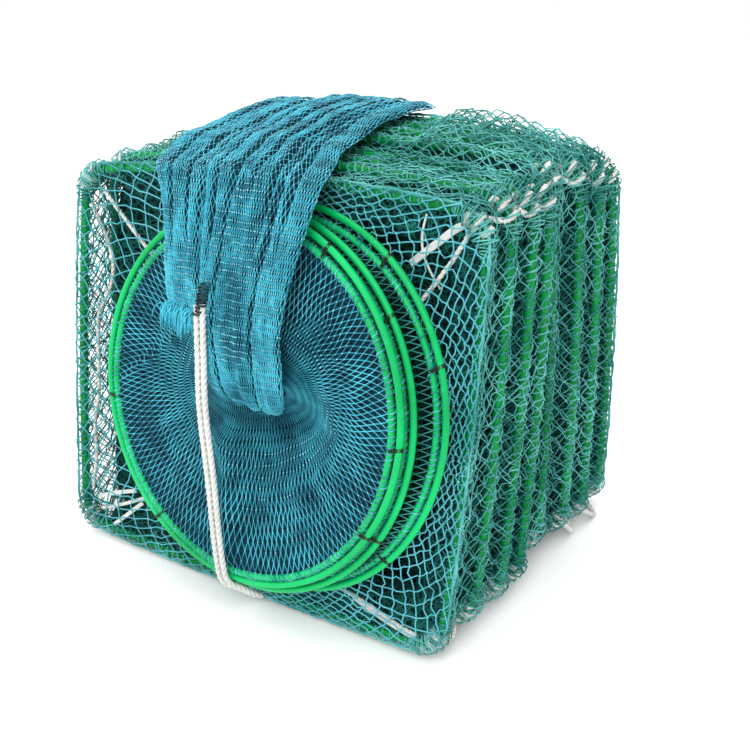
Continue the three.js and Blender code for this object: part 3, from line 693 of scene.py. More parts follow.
def addTieRopes():
    for side, shift, rise in (("Left", 0, 0), ("Right", tieRope["spacing"], tieRope["rise"])):
        route = smoothPath([framePoint(0, x + shift, z + rise, y) for x, z, y in tieRows], 170)
        mesh = tubeMesh("tieRope" + side, route, tieRope["radius"] * mm, sides=18, lobes=3,
                        lobeDepth=tieRope["lobeDepth"], lay=tieRope["lay"] * mm)
        rope = addPiece("tieRope" + side, mesh, "whiteRope", ["tie_rope_" + side.lower()])


addTieRopes()
print("tie ropes laid")


# Coated bars and hoop wires, round where the plain solids have flats
def addFrames():
    for index, row in enumerate(stackRows):
        points = []
        for step in range(132):
            place, _ = outlineAt(step / 132, 0, row[6])
            points.append(framePoint(index, place.x, place.y))
        mesh = tubeMesh(f"frameBar{index + 1}", points, bars["radius"] * mm, sides=12, closed=True)
        addPiece(f"frameBar{index + 1}", mesh, "frameCoat", [f"frame_{index + 1}"])


def hoopRing(name, inset, steps):
    return [hoopPoint(name, turnRound * step / steps, inset) for step in range(steps)]


def addHoops():
    for name in hoopRows:
        for kind, inset in (("outer", 0), ("inner", hoops["step"])):
            mesh = tubeMesh(f"hoop_{name}_{kind}_wire", hoopRing(name, inset, 110), hoops["wire"] * mm,
                            sides=14, closed=True)
            addPiece(f"hoop_{name}_{kind}_wire", mesh, "hoopCoat", [f"hoop_{name}_{kind}"])


addFrames()
addHoops()
print("frames and hoops bent")


# Bellows net between the frames: how far each side swells out past the bar line
bodyNet = {
    "columns": 88, "rows": 25, "bar": 10, "twine": 0.6, "knot": 1.15, "bend": 3.4, "crest": 4.7, "fold": 1.6,
    "underIn": 3.2, "underTwine": 0.6,
    "sleeveRight": 62, "puffRun": 45, "pressedTop": -1.5, "ripple": 1.6, "sharpness": 6, "lowest": 0.7,
}
foldRows = [(-3, 5, -5), (-10, 6, -7), (-8, 9, -4), (-5, 12, 2), (-9, 15, 2), (-7, 19, -3), (-11, 20, -6)]


def smoothstep(share):
    share = min(1.0, max(0.0, share))
    return share * share * (3 - 2 * share)


# How much of the way out of the outline points sideways, from 0 on the top and foot to 1 on the sides
def sideShare(place):
    sideways = abs(place.x / (bars["width"] / 2)) ** bodyNet["sharpness"]
    return sideways / (sideways + abs(place.y / (bars["height"] / 2)) ** bodyNet["sharpness"])


# Point on the bellows: along runs from 0 at the first frame to 7 at the last
def bodyPoint(share, along, inward=0.0):
    index = min(int(along), len(foldRows) - 1)
    step = along - index
    side, top, foot = foldRows[index]
    flat, _ = outlineAt(share)
    sideways = sideShare(flat)
    near = framePoint(index, *outlineAt(share, 0, stackRows[index][6])[0])
    clear = smoothstep(((near.x / mm + origin.x) - bodyNet["sleeveRight"]) / bodyNet["puffRun"])
    vertical = bodyNet["pressedTop"] + (top - bodyNet["pressedTop"]) * clear if flat.y > 0 else foot
    ripple = bodyNet["ripple"] * (noise.noise(Vector((share * 46, along * 1.3, 4.0))) - 0.6)
    folded = bodyNet["fold"] + ripple + sideways * side + (1 - sideways) * vertical
    hang = math.sin(math.pi * step) ** 2
    out = bodyNet["crest"] * (1 - hang) + folded * hang - inward
    ends = []
    for at in (index, index + 1):
        place, _ = outlineAt(share, out, stackRows[at][6])
        ends.append(framePoint(at, place.x, place.y))
    point = ends[0].lerp(ends[1], step)
    point.z = max(point.z, bodyNet["lowest"] * mm)
    return point


def addBodyNet():
    last = len(stackRows) - 1

    def place(u, v):
        point = shaken(bodyPoint(u, v * last), 110, 0.0034)
        point.z = max(point.z, bodyNet["lowest"] * mm)
        return point

    def placeUnder(u, v):
        point = shaken(bodyPoint(u + 0.004, v * last, bodyNet["underIn"]), 120, 0.004, 5.0)
        point.z = max(point.z, bodyNet["lowest"] * mm)
        return point

    wires = netWires(bodyNet["columns"], bodyNet["rows"], place, bodyNet["bend"] * mm)
    mesh = twineMesh("bodyNet", wires, bodyNet["twine"] * mm, knotRadius=bodyNet["knot"] * mm)
    piece = addPiece("bodyNet", mesh, "bodyTwine", ["net_body"])
    wires = netWires(bodyNet["columns"], bodyNet["rows"], placeUnder, bodyNet["bend"] * mm)
    mesh = twineMesh("bodyNetUnder", wires, bodyNet["underTwine"] * mm)
    piece = addPiece("bodyNetUnder", mesh, "bodyTwine")


# The slack net between two frames, folded in between them: two layers for each gap in the darker twine of
# painted shade, and behind them a dark sheet of painted shade for the deeper folds; on the left side the folds
# are shallow and open
pleats = {
    "columns": 72, "rows": 4, "bar": 14, "twine": 0.75, "layers": (11, 24), "leftShare": 0.3, "start": 2.0,
    "shadowDeep": 33, "shadowStart": 3, "shadowSteps": 9, "leftOpen": -182,
}


def pleatPoint(index, u, v, deep, start, seed):
    flat, out = outlineAt(u)
    leftward = smoothstep((-flat.x / (bars["width"] / 2) - 0.55) / 0.4)
    reach = deep * (1 + (pleats["leftShare"] - 1) * leftward)
    reach *= 1 + 0.25 * noise.noise(Vector((u * 23, index * 3.1, seed)))
    swing = math.sin(math.pi * v)
    inward = start + reach * swing
    crowd = 0.5 - 0.5 * math.cos(math.pi * v)
    step = crowd + 0.12 * swing * noise.noise(Vector((u * 17, index * 5.7, 8.5 + seed)))
    ends = [framePoint(at, *outlineAt(u, -inward, stackRows[at][6])[0]) for at in (index, index + 1)]
    return ends[0].lerp(ends[1], step)


def addPleats():
    for index in range(len(foldRows)):
        for layer, deep in enumerate(pleats["layers"]):
            def place(u, v, index=index, deep=deep, layer=layer):
                return shaken(pleatPoint(index, u + 0.003 * layer, v, deep, pleats["start"], layer * 4.0),
                              70, 0.005, index + 3 * layer)

            name = f"foldedNet{index + 1}_{layer + 1}"
            mesh = twineMesh(name, netWires(pleats["columns"], pleats["rows"], place), pleats["twine"] * mm,
                             twine="innerTwineShaded")
            piece = addPiece(name, mesh, "innerTwineShaded")
        addFoldShadow(index)


# Cloth thickness for a shadow sheet
def thicken(piece, thickness):
    modifier = piece.modifiers.new("thick", "SOLIDIFY")
    modifier.thickness = thickness
    modifier.use_even_offset = False


# Trims a painted-shade sheet's rim over the left side, where the net is open to the light
def openLeft(bm, limit):
    rimmed = [face for face in bm.faces if face.calc_center_median().x < limit * mm]
    bmesh.ops.delete(bm, geom=rimmed, context="FACES")


# Dark sheet of painted shade inside each gap, behind the folded net
def addFoldShadow(index):
    bm = bmesh.new()
    bmesh.ops.create_grid(bm, x_segments=120, y_segments=pleats["shadowSteps"], size=0.5)
    for vert in bm.verts:
        vert.co = pleatPoint(index, vert.co.x + 0.5, vert.co.y + 0.5, pleats["shadowDeep"],
                             pleats["shadowStart"], 2.0)
    bmesh.ops.remove_doubles(bm, verts=bm.verts, dist=0.00005)
    openLeft(bm, pleats["leftOpen"])
    bmesh.ops.recalc_face_normals(bm, faces=bm.faces)
    name = f"foldShadow{index + 1}"
    thicken(addPiece(name, toMesh(name, bm), "foldShadow"), 0.0008)


# Dark sheet of painted shade behind the shoulder net, standing for the folds that fill the inside, darkest to
# the right; open along the left bar
innerFoldShade = {"behind": 30, "bulge": 16, "inset": 9, "across": 44, "up": 40, "leftOpen": -207, "wave": 7}


def addInnerFoldShade():
    bm = bmesh.new()
    bmesh.ops.create_grid(bm, x_segments=innerFoldShade["across"], y_segments=innerFoldShade["up"], size=1.0)
    halfX, halfZ = bars["width"] / 2 - innerFoldShade["inset"], bars["height"] / 2 - innerFoldShade["inset"]
    for vert in bm.verts:
        x, z = vert.co.x, vert.co.y
        swing = (1 - x ** 4) * (1 - z ** 4)
        wave = innerFoldShade["wave"] * noise.noise(Vector((x * 9, z * 2.5, 1.7)))
        behind = innerFoldShade["behind"] + (innerFoldShade["bulge"] + wave) * swing
        trim = (abs(x) * abs(z)) ** 8 * bars["corner"] * 0.3
        vert.co = framePoint(0, x * halfX - math.copysign(trim, x), z * halfZ - math.copysign(trim, z), -behind)
    openLeft(bm, innerFoldShade["leftOpen"])
    bmesh.ops.recalc_face_normals(bm, faces=bm.faces)
    thicken(addPiece("innerFoldShade", toMesh("innerFoldShade", bm), "foldShadow"), 0.0008)


# Selvedge cords round the rims of the first and last frames, where the nets are joined
selvedge = {"cord": 0.85, "strands": 3, "wander": 1.8, "steps": 190}


def addSelvedges():
    for name, index, forward in (("front", 0, 4.6), ("back", len(stackRows) - 1, -4.2)):
        paths = []
        for strand in range(selvedge["strands"]):
            path = []
            for step in range(selvedge["steps"]):
                place, _ = outlineAt(step / selvedge["steps"], 4.4, stackRows[index][6])
                point = framePoint(index, place.x, place.y, forward)
                path.append(shaken(point, 150, selvedge["wander"] * mm, strand * 6.0))
            paths.append(path)
        mesh = twineMesh("selvedge_" + name, threadWires(paths, closed=True), selvedge["cord"] * mm, sides=4,
                         twine="bodyTwine")
        addPiece("selvedge_" + name, mesh, "bodyTwine")


# Twine that binds the net round every bar, wound both ways
barLacing = {"twine": 0.8, "stand": 1.2, "pitch": 7.4, "steps": 4}


def addBarLacing():
    around = 2 * (bars["width"] + bars["height"])
    for index, row in enumerate(stackRows):
        def ring(share, index=index, row=row):
            place, _ = outlineAt(share, 0, row[6])
            return framePoint(index, place.x, place.y)

        paths = []
        for way in (1, -1):
            path = ringHelix(lambda share, way=way: ring(way * share), round(around / barLacing["pitch"]),
                             (bars["radius"] + barLacing["stand"]) * mm, barLacing["steps"], uneven=0.3,
                             seed=index * 2 + way)
            paths.append(path)
        name = f"barLacing{index + 1}"
        mesh = twineMesh(name, threadWires(paths, closed=True), barLacing["twine"] * mm, twine="bodyTwine")
        addPiece(name, mesh, "bodyTwine")


# Plain panel over the last frame's back
backNet = {"columns": 24, "rows": 29, "bar": 10, "twine": 0.6, "knot": 1.1, "behind": 4.6, "inside": 0.5}


def addBackNet():
    last = len(stackRows) - 1
    halfX, halfZ = bars["width"] / 2, bars["height"] / 2

    def place(u, v):
        x, z = (2 * u - 1), (2 * v - 1)
        across = x * (halfX + backNet["inside"]) + math.copysign(bars["sideBow"] * (1 - z * z), x) * abs(x)
        bow = stackRows[last][6] if z > 0 else -bars["footBow"]
        drop = bars["leftDrop"] * (0.5 - x / 2) if z > 0 else 0
        up = z * (halfZ + backNet["inside"]) + (bow * (1 - x * x) - drop) * abs(z)
        round_ = (abs(x) * abs(z)) ** 8 * bars["corner"] * 0.29
        across -= math.copysign(round_, x)
        up -= math.copysign(round_, z)
        slack = 3.0 * math.sin(math.pi * u) * math.sin(math.pi * v)
        return shaken(framePoint(last, across, up, -backNet["behind"] - slack * 0.3), 40, 0.0012)

    mesh = twineMesh("backNet", netWires(backNet["columns"], backNet["rows"], place), backNet["twine"] * mm,
                     knotRadius=backNet["knot"] * mm)
    piece = addPiece("backNet", mesh, "bodyTwine", ["net_back"])


def ringHelix(pointAt, turns, radius, stepsPerTurn, uneven=0.0, seed=0):
    steps = turns * stepsPerTurn
    centres = [pointAt(step / steps) for step in range(steps)]
    middle = sum(centres, Vector()) / steps
    path = []
    for step, centre in enumerate(centres):
        along = (centres[(step + 1) % steps] - centres[step - 1]).normalized()
        out = centre - middle
        out = (out - along * out.dot(along)).normalized()
        side = along.cross(out)
        wander = uneven * noise.noise(Vector((step * 0.31, seed, 0.2)))
        angle = turnRound * (step / stepsPerTurn + wander)
        reach = radius * (1 + 0.25 * noise.noise(Vector((step * 0.23, seed, 5.2))))
        path.append(centre + (out * math.cos(angle) + side * math.sin(angle)) * reach)
    return path


addBodyNet()
addPleats()
addInnerFoldShade()
addBarLacing()
addSelvedges()
addBackNet()
print("body net folded")


# Shoulder net from the first frame in to the rear hoop
shoulder = {
    "columns": 84, "rows": 6, "bar": 10, "twine": 0.62, "knot": 1.3, "bend": 3.6, "rim": 5.2, "grow": 5.15,
    "sag": 2, "sagSpan": 60, "sagWaves": 7, "sagBack": 0.4,
}


def makeShoulderEdge():
    middle = Vector(hoopRows["rear"][:2])
    table = []
    for step in range(1440):
        place, _ = outlineAt(step / 1440 + 0.1, shoulder["grow"], stackRows[0][6])
        away = place - middle
        table.append((math.atan2(away.y, away.x) % turnRound, place))
    table.sort(key=lambda row: row[0])
    return [row[0] for row in table], [row[1] for row in table]


edgeAngles, edgePlaces = makeShoulderEdge()


def shoulderEdge(angle):
    return edgePlaces[bisect.bisect_left(edgeAngles, angle % turnRound) % len(edgePlaces)]


def shoulderPoint(turns, share, back=0.0):
    angle = turnRound * turns
    edge = shoulderEdge(angle)
    start = framePoint(0, edge.x, edge.y, shoulder["rim"])
    end = hoopPoint("rear", angle, hoops["step"] + hoops["laceInset"], -hoops["beside"])
    point = start.lerp(end, share)
    slack = math.sin(math.pi * share) * (1 - share) * min(1, (end - start).length / mm / shoulder["sagSpan"])
    sag = shoulder["sag"] * slack * (math.sin(shoulder["sagWaves"] * angle) - shoulder["sagBack"])
    return point + frontNormal * (sag - back) * mm


def addShoulderNet():
    def place(u, v):
        return shaken(shoulderPoint(u, v), 70, 0.0015 * math.sin(math.pi * v))

    wires = netWires(shoulder["columns"], shoulder["rows"], place, shoulder["bend"] * mm)
    mesh = twineMesh("shoulderNet", wires, shoulder["twine"] * mm, sides=5, knotRadius=shoulder["knot"] * mm,
                     twine="shoulderTwine")
    piece = addPiece("shoulderNet", mesh, "shoulderTwine", ["net_front"])


# Short net tube between the hoops, and the twine that laces it round their inner wires
collar = {"columns": 150, "rows": 4, "bar": 7, "twine": 0.5, "lacing": 0.62, "pitch": 4.4, "stand": 0.55}


def collarPoint(u, v):
    angle = turnRound * u
    edge, inside = hoops["step"] + hoops["laceInset"], hoops["step"] + hoops["beside"]
    stations = [
        ("rear", edge, hoops["beside"]), ("middle", inside, -hoops["beside"]),
        ("middle", inside, hoops["beside"]), ("front", edge, -hoops["beside"]),
    ]
    points = [hoopPoint(name, angle, inset, forward) for name, inset, forward in stations]
    at = min(v * 3, 2.999)
    index = int(at)
    return points[index].lerp(points[index + 1], at - index)


def addCollar():
    wires = netWires(collar["columns"], collar["rows"], lambda u, v: shaken(collarPoint(u, v), 200, 0.0008))
    # The collar net takes the darker twine of painted shade
    mesh = twineMesh("collarNet", wires, collar["twine"] * mm, twine="innerTwineShaded")
    piece = addPiece("collarNet", mesh, "innerTwineShaded", ["net_collar"])


def addHoopLacing():
    for seed, name in enumerate(hoopRows):
        ring = lambda share, name=name: hoopPoint(name, turnRound * share, hoops["step"])
        around = turnRound * (hoopRows[name][2] - hoops["step"])
        path = ringHelix(ring, round(around / collar["pitch"]), (hoops["wire"] + collar["stand"]) * mm, 7,
                         uneven=0.4, seed=seed)
        mesh = twineMesh(f"hoopLacing_{name}", threadWires([path], closed=True), collar["lacing"] * mm,
                         sides=4, twine="lacingTwine")
        addPiece(f"hoopLacing_{name}", mesh, "lacingTwine")


# Black thread that ties each hoop's two wires together: hoop and where round it, in degrees
blackTies = {"twine": 0.45, "turns": 3, "pitch": 1.1, "stand": 0.55, "steps": 12}
tieSpots = [
    ("rear", 278), ("rear", 288), ("rear", 319), ("rear", 21), ("rear", 54), ("rear", 130), ("rear", 205),
    ("middle", 36), ("middle", 95), ("middle", 170), ("middle", 250), ("middle", 330),
    ("front", 330), ("front", 359), ("front", 60), ("front", 120), ("front", 190), ("front", 235),
]


def addBlackTies():
    paths = []
    for name, degrees in tieSpots:
        angle = math.radians(degrees)
        outer, inner = hoopPoint(name, angle), hoopPoint(name, angle, hoops["step"])
        along = (hoopPoint(name, angle + 0.01) - outer).normalized()
        across = outer - inner
        middle = (outer + inner) / 2
        deep = along.cross(across.normalized())
        wide, thick = across.length / 2 + (hoops["wire"] + blackTies["stand"]) * mm, \
            (hoops["wire"] + blackTies["stand"]) * mm
        path = []
        for step in range(blackTies["turns"] * blackTies["steps"] + 1):
            turn = turnRound * step / blackTies["steps"]
            slide = (step / blackTies["steps"] - blackTies["turns"] / 2) * blackTies["pitch"] * mm
            path.append(middle + across.normalized() * math.cos(turn) * wide + deep * math.sin(turn) * thick
                        + along * slide)
        paths.append(path)
    mesh = twineMesh("blackTies", threadWires(paths), blackTies["twine"] * mm, sides=4, twine="blackThread")
    addPiece("blackTies", mesh, "blackThread")


addShoulderNet()
addCollar()
addHoopLacing()
addBlackTies()
print("mouth laced")


# Tail disc: from the front hoop in to the throat; share of the way and how far it stands forward
disc = {
    "columns": 150, "rows": 8, "bar": 8, "twine": 0.52, "knot": 0.85,
    "throat": (27, 21, 32, 11, 43), "dent": (64, -4, 32, 27), "ridge": (9, 15, 11), "foldLift": 7,
    "underBehind": 6.0, "tiedTo": 0.72, "thinTo": 0.4,
}
discRows = [(0, 0), (0.3, -3), (0.55, -5), (0.78, -3), (0.92, 2), (1, 6)]


def between(rows, share):
    for (low, start), (high, end) in zip(rows, rows[1:]):
        if share <= high:
            part = (share - low) / (high - low)
            return start + (end - start) * part
    return rows[-1][1]


def discPoint(u, share, behind=0.0):
    angle = turnRound * u
    across, up, radiusX, radiusZ, forward = disc["throat"]
    rim = hoopPoint("front", angle, hoops["step"] + hoops["wire"] + hoops["gap"])
    inner = framePoint(0, across + radiusX * math.cos(angle), up + radiusZ * math.sin(angle), forward)
    point = rim.lerp(inner, share)
    local = framePoses[0].inverted() @ point
    dentX, dentZ, reach, depth = disc["dent"]
    away = math.hypot(local.x - dentX, local.z - dentZ) / reach
    held = min(1.0, share * 6)
    hollow = depth * math.exp(-away * away) * held
    ridgeX, ridgeWide, ridgeHigh = disc["ridge"]
    below = smoothstep((-local.z - 5) / 30) * smoothstep((local.z + 148) / 20)
    ridge = ridgeHigh * math.exp(-((local.x - ridgeX) / ridgeWide) ** 2) * below
    lineUp = -10 + (local.x + 125) * 76 / 96
    crease = disc["foldLift"] * math.exp(-((local.z - lineUp) / 5) ** 2) * smoothstep((20 - local.x) / 40)
    lift = between(discRows, share) - hollow + ridge + crease * held - behind
    return point + frontNormal * lift * mm


def addDisc():
    def place(u, v):
        return shaken(discPoint(u, v), 55, 0.003 * math.sin(math.pi * v))

    wires = netWires(disc["columns"], disc["rows"], place, tiedTo=disc["tiedTo"], thinTo=disc["thinTo"])
    mesh = twineMesh("tailDisc", wires, disc["twine"] * mm, knotRadius=disc["knot"] * mm,
                     twine="tailTwine", knot="tailKnotLit")
    piece = addPiece("tailDisc", mesh, "tailTwine")


# The disc's deeper layers, as a dark sheet of painted shade
def addDiscUnderShade():
    bm = bmesh.new()
    bmesh.ops.create_grid(bm, x_segments=130, y_segments=16, size=0.5)
    for vert in bm.verts:
        v = vert.co.y + 0.5
        vert.co = discPoint(vert.co.x + 0.5, v, disc["underBehind"] * math.sin(math.pi * v) + 0.6)
    bmesh.ops.remove_doubles(bm, verts=bm.verts, dist=0.00005)
    bmesh.ops.recalc_face_normals(bm, faces=bm.faces)
    thicken(addPiece("tailDiscUnderShade", toMesh("tailDiscUnderShade", bm), "tailUnderShade"), 0.0006)


# Sleeve: it rises from the throat, runs over the top to the back and comes back beside itself.
# First rows in the first frame's plane: across, up, forward, half width, thickness, tip;
# then rows over the top: across, depth, height, half width, thickness, tip
risingFront = [
    (29, 4, 36, 30, 7, 60), (28, 16, 46, 38, 9, 36), (26, 42, 53, 41, 10, 5), (22, 75, 54, 43, 10, 0),
    (25, 115, 52, 46, 11, 0), (29, 150, 49, 51, 11, -4), (27, 178, 40, 56, 11, -28),
]
risingTop = [
    (21, 16, 372.5, 59, 11, -60), (12, 42, 375.5, 58, 11, -80), (5, 68, 381.5, 56, 11, -82),
    (0, 100, 382.5, 55, 11, -82), (-2, 137, 389, 55, 11, -86), (-1, 175, 391, 56, 11, -90),
    (1, 209, 391, 57, 11, -94), (1, 224, 388, 56, 9, -112),
]
returningFront = [
    (-27, 64, 50, 16, 6, 0), (-27, 78, 51, 22, 11, 0), (-33, 100, 51, 21, 11, 0), (-37, 135, 49, 20.5, 11, -2),
    (-41, 160, 46, 23, 11, -8), (-49, 179, 38, 28, 10, -30),
]
returningTop = [
    (-60, 16, 369, 31, 10, -60), (-69, 42, 372.5, 33, 9, -80), (-75, 68, 378.5, 34, 9, -82),
    (-80, 100, 379, 35, 9, -82), (-82, 137, 383, 36, 9, -86), (-83, 175, 385.5, 37, 9, -90),
    (-83, 209, 386, 38, 9, -94), (-83, 224, 382.5, 37, 8, -112),
]
sleeve = {
    "bar": 7, "twine": 0.45, "knot": 0.8, "under": 2.2, "foldHigh": 1.8, "foldFine": 0.13, "foldLong": 0.008,
    "seenFrom": -0.03, "seenTo": 0.53, "shake": 0.0012, "pleatShare": 0.7,
}
# Creases: across the strip at its two ends, half width, depth, and where along it starts and is full
strips = {
    "rising": {
        "front": risingFront, "top": risingTop, "columns": 56, "rows": 38,
        "creases": [(-0.72, -0.66, 0.045, 6.5, 0.22, 0.40), (-0.38, -0.30, 0.04, 8.0, 0.34, 0.48),
                    (-0.06, 0.02, 0.045, 7.5, 0.40, 0.52), (0.24, 0.34, 0.04, 8.0, 0.32, 0.48),
                    (0.62, 0.66, 0.045, 6.0, 0.28, 0.46), (0.36, 0.55, 0.05, 4.5, -0.2, 0.0),
                    (-0.55, -0.2, 0.035, 4.0, -0.1, 0.1), (-0.94, -0.94, 0.06, 6.0, -0.2, -0.1)],
    },
    "returning": {
        "front": returningFront, "top": returningTop, "columns": 28, "rows": 34,
        "creases": [(-0.35, -0.42, 0.08, 5.5, 0.1, 0.4), (0.32, 0.38, 0.08, 6.0, 0.1, 0.35),
                    (0.92, 0.92, 0.12, 7.0, -0.2, -0.1)],
    },
}


def stripRows(strip):
    rows = []
    for across, up, forward, half, thick, tip in strip["front"]:
        rows.append((framePoint(0, across, up, forward), half, thick, tip - stackRows[0][3]))
    for across, depth, height, half, thick, tip in strip["top"]:
        rows.append(((Vector((across, depth, height)) - origin) * mm, half, thick, tip))
    return rows


def smoothRow(rows, lengths, share):
    want = share * lengths[-1]
    index = min(max(bisect.bisect_right(lengths, want) - 1, 0), len(rows) - 2)
    t = (want - lengths[index]) / (lengths[index + 1] - lengths[index])
    four = [rows[min(max(index + k, 0), len(rows) - 1)] for k in (-1, 0, 1, 2)]
    weights = (
        0.5 * (-t + 2 * t * t - t ** 3), 0.5 * (2 - 5 * t * t + 3 * t ** 3),
        0.5 * (t + 4 * t * t - 3 * t ** 3), 0.5 * (-t * t + t ** 3),
    )
    middle = sum((row[0] * weight for row, weight in zip(four, weights)), Vector())
    return [middle] + [sum(row[k] * weight for row, weight in zip(four, weights)) for k in (1, 2, 3)]


def creaseDepth(creases, across, v):
    total = 0.0
    for start, end, wide, deep, begins, full in creases:
        away = (across - start - (end - start) * v) / wide
        total += deep * math.exp(-away * away) * smoothstep((v - begins) / (full - begins))
    return total


def stripPoint(rows, lengths, creases, u, v, out=0.0, seed=0.0):
    middle, half, thick, tip = smoothRow(rows, lengths, v)
    u %= 1
    face = 1 if u < 0.5 else -1
    across = 1 - 4 * u if u < 0.5 else 4 * u - 3
    rounded = math.sqrt(max(0.0, 1 - across ** 4))
    pleat = min(creaseDepth(creases, across, v), thick * sleeve["pleatShare"]) if face > 0 else 1.0
    along = v * lengths[-1] / mm
    fine = noise.noise(Vector((across * half * sleeve["foldFine"], along * sleeve["foldLong"], seed)))
    lift = face * rounded * (thick / 2 - pleat + out + sleeve["foldHigh"] * fine)
    tip = math.radians(tip)
    outward = Vector((0, -math.cos(tip), -math.sin(tip)))
    point = middle + outward * lift * mm
    point.x += across * (half + out) * mm
    return point


def addSleeve():
    for seed, (name, strip) in enumerate(strips.items()):
        rows = stripRows(strip)
        lengths = [0.0]
        for start, end in zip(rows, rows[1:]):
            lengths.append(lengths[-1] + (end[0] - start[0]).length)
        def at(u, v, out=0.0, rows=rows, lengths=lengths, strip=strip, seed=seed):
            return stripPoint(rows, lengths, strip["creases"], u, v, out, seed * 7.0)

        # Closed dark sheet under the strip's net: painted shade for the deeper layers
        bm = bmesh.new()
        bmesh.ops.create_grid(bm, x_segments=120, y_segments=90, size=0.5)
        for vert in bm.verts:
            vert.co = at(vert.co.x + 0.5, vert.co.y + 0.5, -sleeve["under"])
        bmesh.ops.remove_doubles(bm, verts=bm.verts, dist=0.00002)
        bmesh.ops.holes_fill(bm, edges=[edge for edge in bm.edges if edge.is_boundary], sides=0)
        bmesh.ops.recalc_face_normals(bm, faces=bm.faces)
        under = addPiece(f"sleeveUnderShade_{name}", toMesh(f"sleeveUnderShade_{name}", bm), "tailUnderShade")
        def place(u, v, at=at):
            seen = sleeve["seenFrom"] + (sleeve["seenTo"] - sleeve["seenFrom"]) * u
            return shaken(at(seen, v), 160, sleeve["shake"])

        wires = netWires(strip["columns"], strip["rows"], place)
        mesh = twineMesh(f"sleeveNet_{name}", wires, sleeve["twine"] * mm, knotRadius=sleeve["knot"] * mm,
                         twine="tailTwine", knot="tailKnotLit")
        piece = addPiece(f"sleeveNet_{name}", mesh, "tailTwine",
                         ["net_tail"] if name == "rising" else ())
        print(name, "sleeve", round(lengths[-1] * 1000), "mm long, under-sheet", under.name)


# The returning end: its twines' ragged ends, and the dark cord that ties it to the doubled rope.
# Places are across, up and forward in the first frame's plane
tailTie = {
    "middle": (-7.5, 87.5, 60), "radius": 3.8, "turns": 10, "pitch": 2.6, "cord": 0.9, "lumps": 0.6,
    "ends": 70, "endTwine": 0.5, "endFrom": (-52, -13), "endUp": (62, 88), "endFall": 26, "endFront": 56.5,
}


def addTailTie():
    across, up, forward = tailTie["middle"]
    path = []
    for step in range(tailTie["turns"] * 10 + 1):
        angle = turnRound * step / 10
        reach = tailTie["radius"] * (1 + tailTie["lumps"] * noise.noise(Vector((step * 0.4, 2.1, 0))))
        x, depth = math.cos(angle) * reach, math.sin(angle) * reach
        rise = (step / 10 - tailTie["turns"] / 2) * tailTie["pitch"]
        path.append(framePoint(0, across + x + rise * 0.2, up + rise, forward + depth))
    mesh = twineMesh("tailTie", threadWires([path]), tailTie["cord"] * mm, sides=6, twine="darkTie")
    addPiece("tailTie", mesh, "darkTie")
    paths = []
    left, right = tailTie["endFrom"]
    low, high = tailTie["endUp"]
    for end in range(tailTie["ends"]):
        share = end / (tailTie["ends"] - 1)
        wander = noise.noise_vector(Vector((end * 1.7, 3.3, 0.4)))
        start = Vector((left + (right - left) * share, low + (high - low) * (0.5 + 0.5 * wander.x),
                        tailTie["endFront"] + 1.5 * wander.y))
        thread = []
        for step in range(5):
            part = step / 4
            thread.append(framePoint(0, start.x + part * (wander.z * 14 - 4),
                                     start.y - part * part * tailTie["endFall"] * (0.6 + 0.5 * wander.y),
                                     start.z + 2.5 * math.sin(math.pi * part) + part * wander.x * 2))
        paths.append(thread)
    mesh = twineMesh("tailEnds", threadWires(paths), tailTie["endTwine"] * mm, sides=4, twine="tailTwine")
    addPiece("tailEnds", mesh, "tailTwine")


addDisc()
addDiscUnderShade()
addSleeve()
addTailTie()
print("tail gathered")


# Ropes that tie the frames together: turns round every bar at its corner, and a stretch to the next one.
# slack lists how far each stretch hangs out, in millimetres; below 0 it lies inside the net
cornerRope = {
    "radius": 2.75, "lay": 17, "lobeDepth": 0.3, "turns": 2, "pitch": 9, "stand": 2.4, "perTurn": 8,
    "slackFall": 0.7, "lowest": 3.1, "step": 2.8,
}
cornerRows = [
    ("top_left", (-3, -2, -3, -2, -3, -2, -3)),
    ("top_right", (-3, -2, -3, -2, -3, -2, -3)),
    ("bottom_left", (6, 3, -2, -2, 2, -2, 3)),
    ("bottom_right", (5, -2, 4, -2, -2, 12, 19)),
]
cornerCover = {"twine": 0.62, "reach": 9.7, "turns": 9, "pitch": 5.0, "steps": 7}


# Share of the outline at the middle of each rounded corner
def cornerShare(name):
    halfX, halfZ = bars["width"] / 2 - bars["corner"], bars["height"] / 2 - bars["corner"]
    quarter = math.pi / 2 * bars["corner"]
    whole = 4 * (halfX + halfZ + quarter)
    right = (halfX + quarter / 2) / whole
    shares = {
        "bottom_right": right, "top_right": (halfX + 1.5 * quarter + 2 * halfZ) / whole,
        "top_left": 1 - (halfX + 1.5 * quarter + 2 * halfZ) / whole, "bottom_left": 1 - right,
    }
    return shares[name], whole


def cornerTurns(index, name, crown):
    middle, whole = cornerShare(name)
    ring = (bars["radius"] + cornerRope["stand"]) * mm
    normal = (framePoses[index].to_3x3() @ Vector((0, -1, 0))).normalized()
    count = round(cornerRope["turns"] * cornerRope["perTurn"])
    points = []
    for step in range(count + 1):
        turn = step / cornerRope["perTurn"]
        slide = (turn - cornerRope["turns"] / 2) * cornerRope["pitch"]
        place, out = outlineAt(middle + slide / whole, 0, crown)
        outward = (framePoses[index].to_3x3() @ Vector((out.x, 0, out.y))).normalized()
        angle = turnRound * turn - math.pi / 2
        wobble = 1 + 0.12 * noise.noise(Vector((step * 0.5, index * 2.0, middle * 9)))
        points.append(framePoint(index, place.x, place.y)
                      + (outward * math.cos(angle) + normal * -math.sin(angle)) * ring * wobble)
    return points


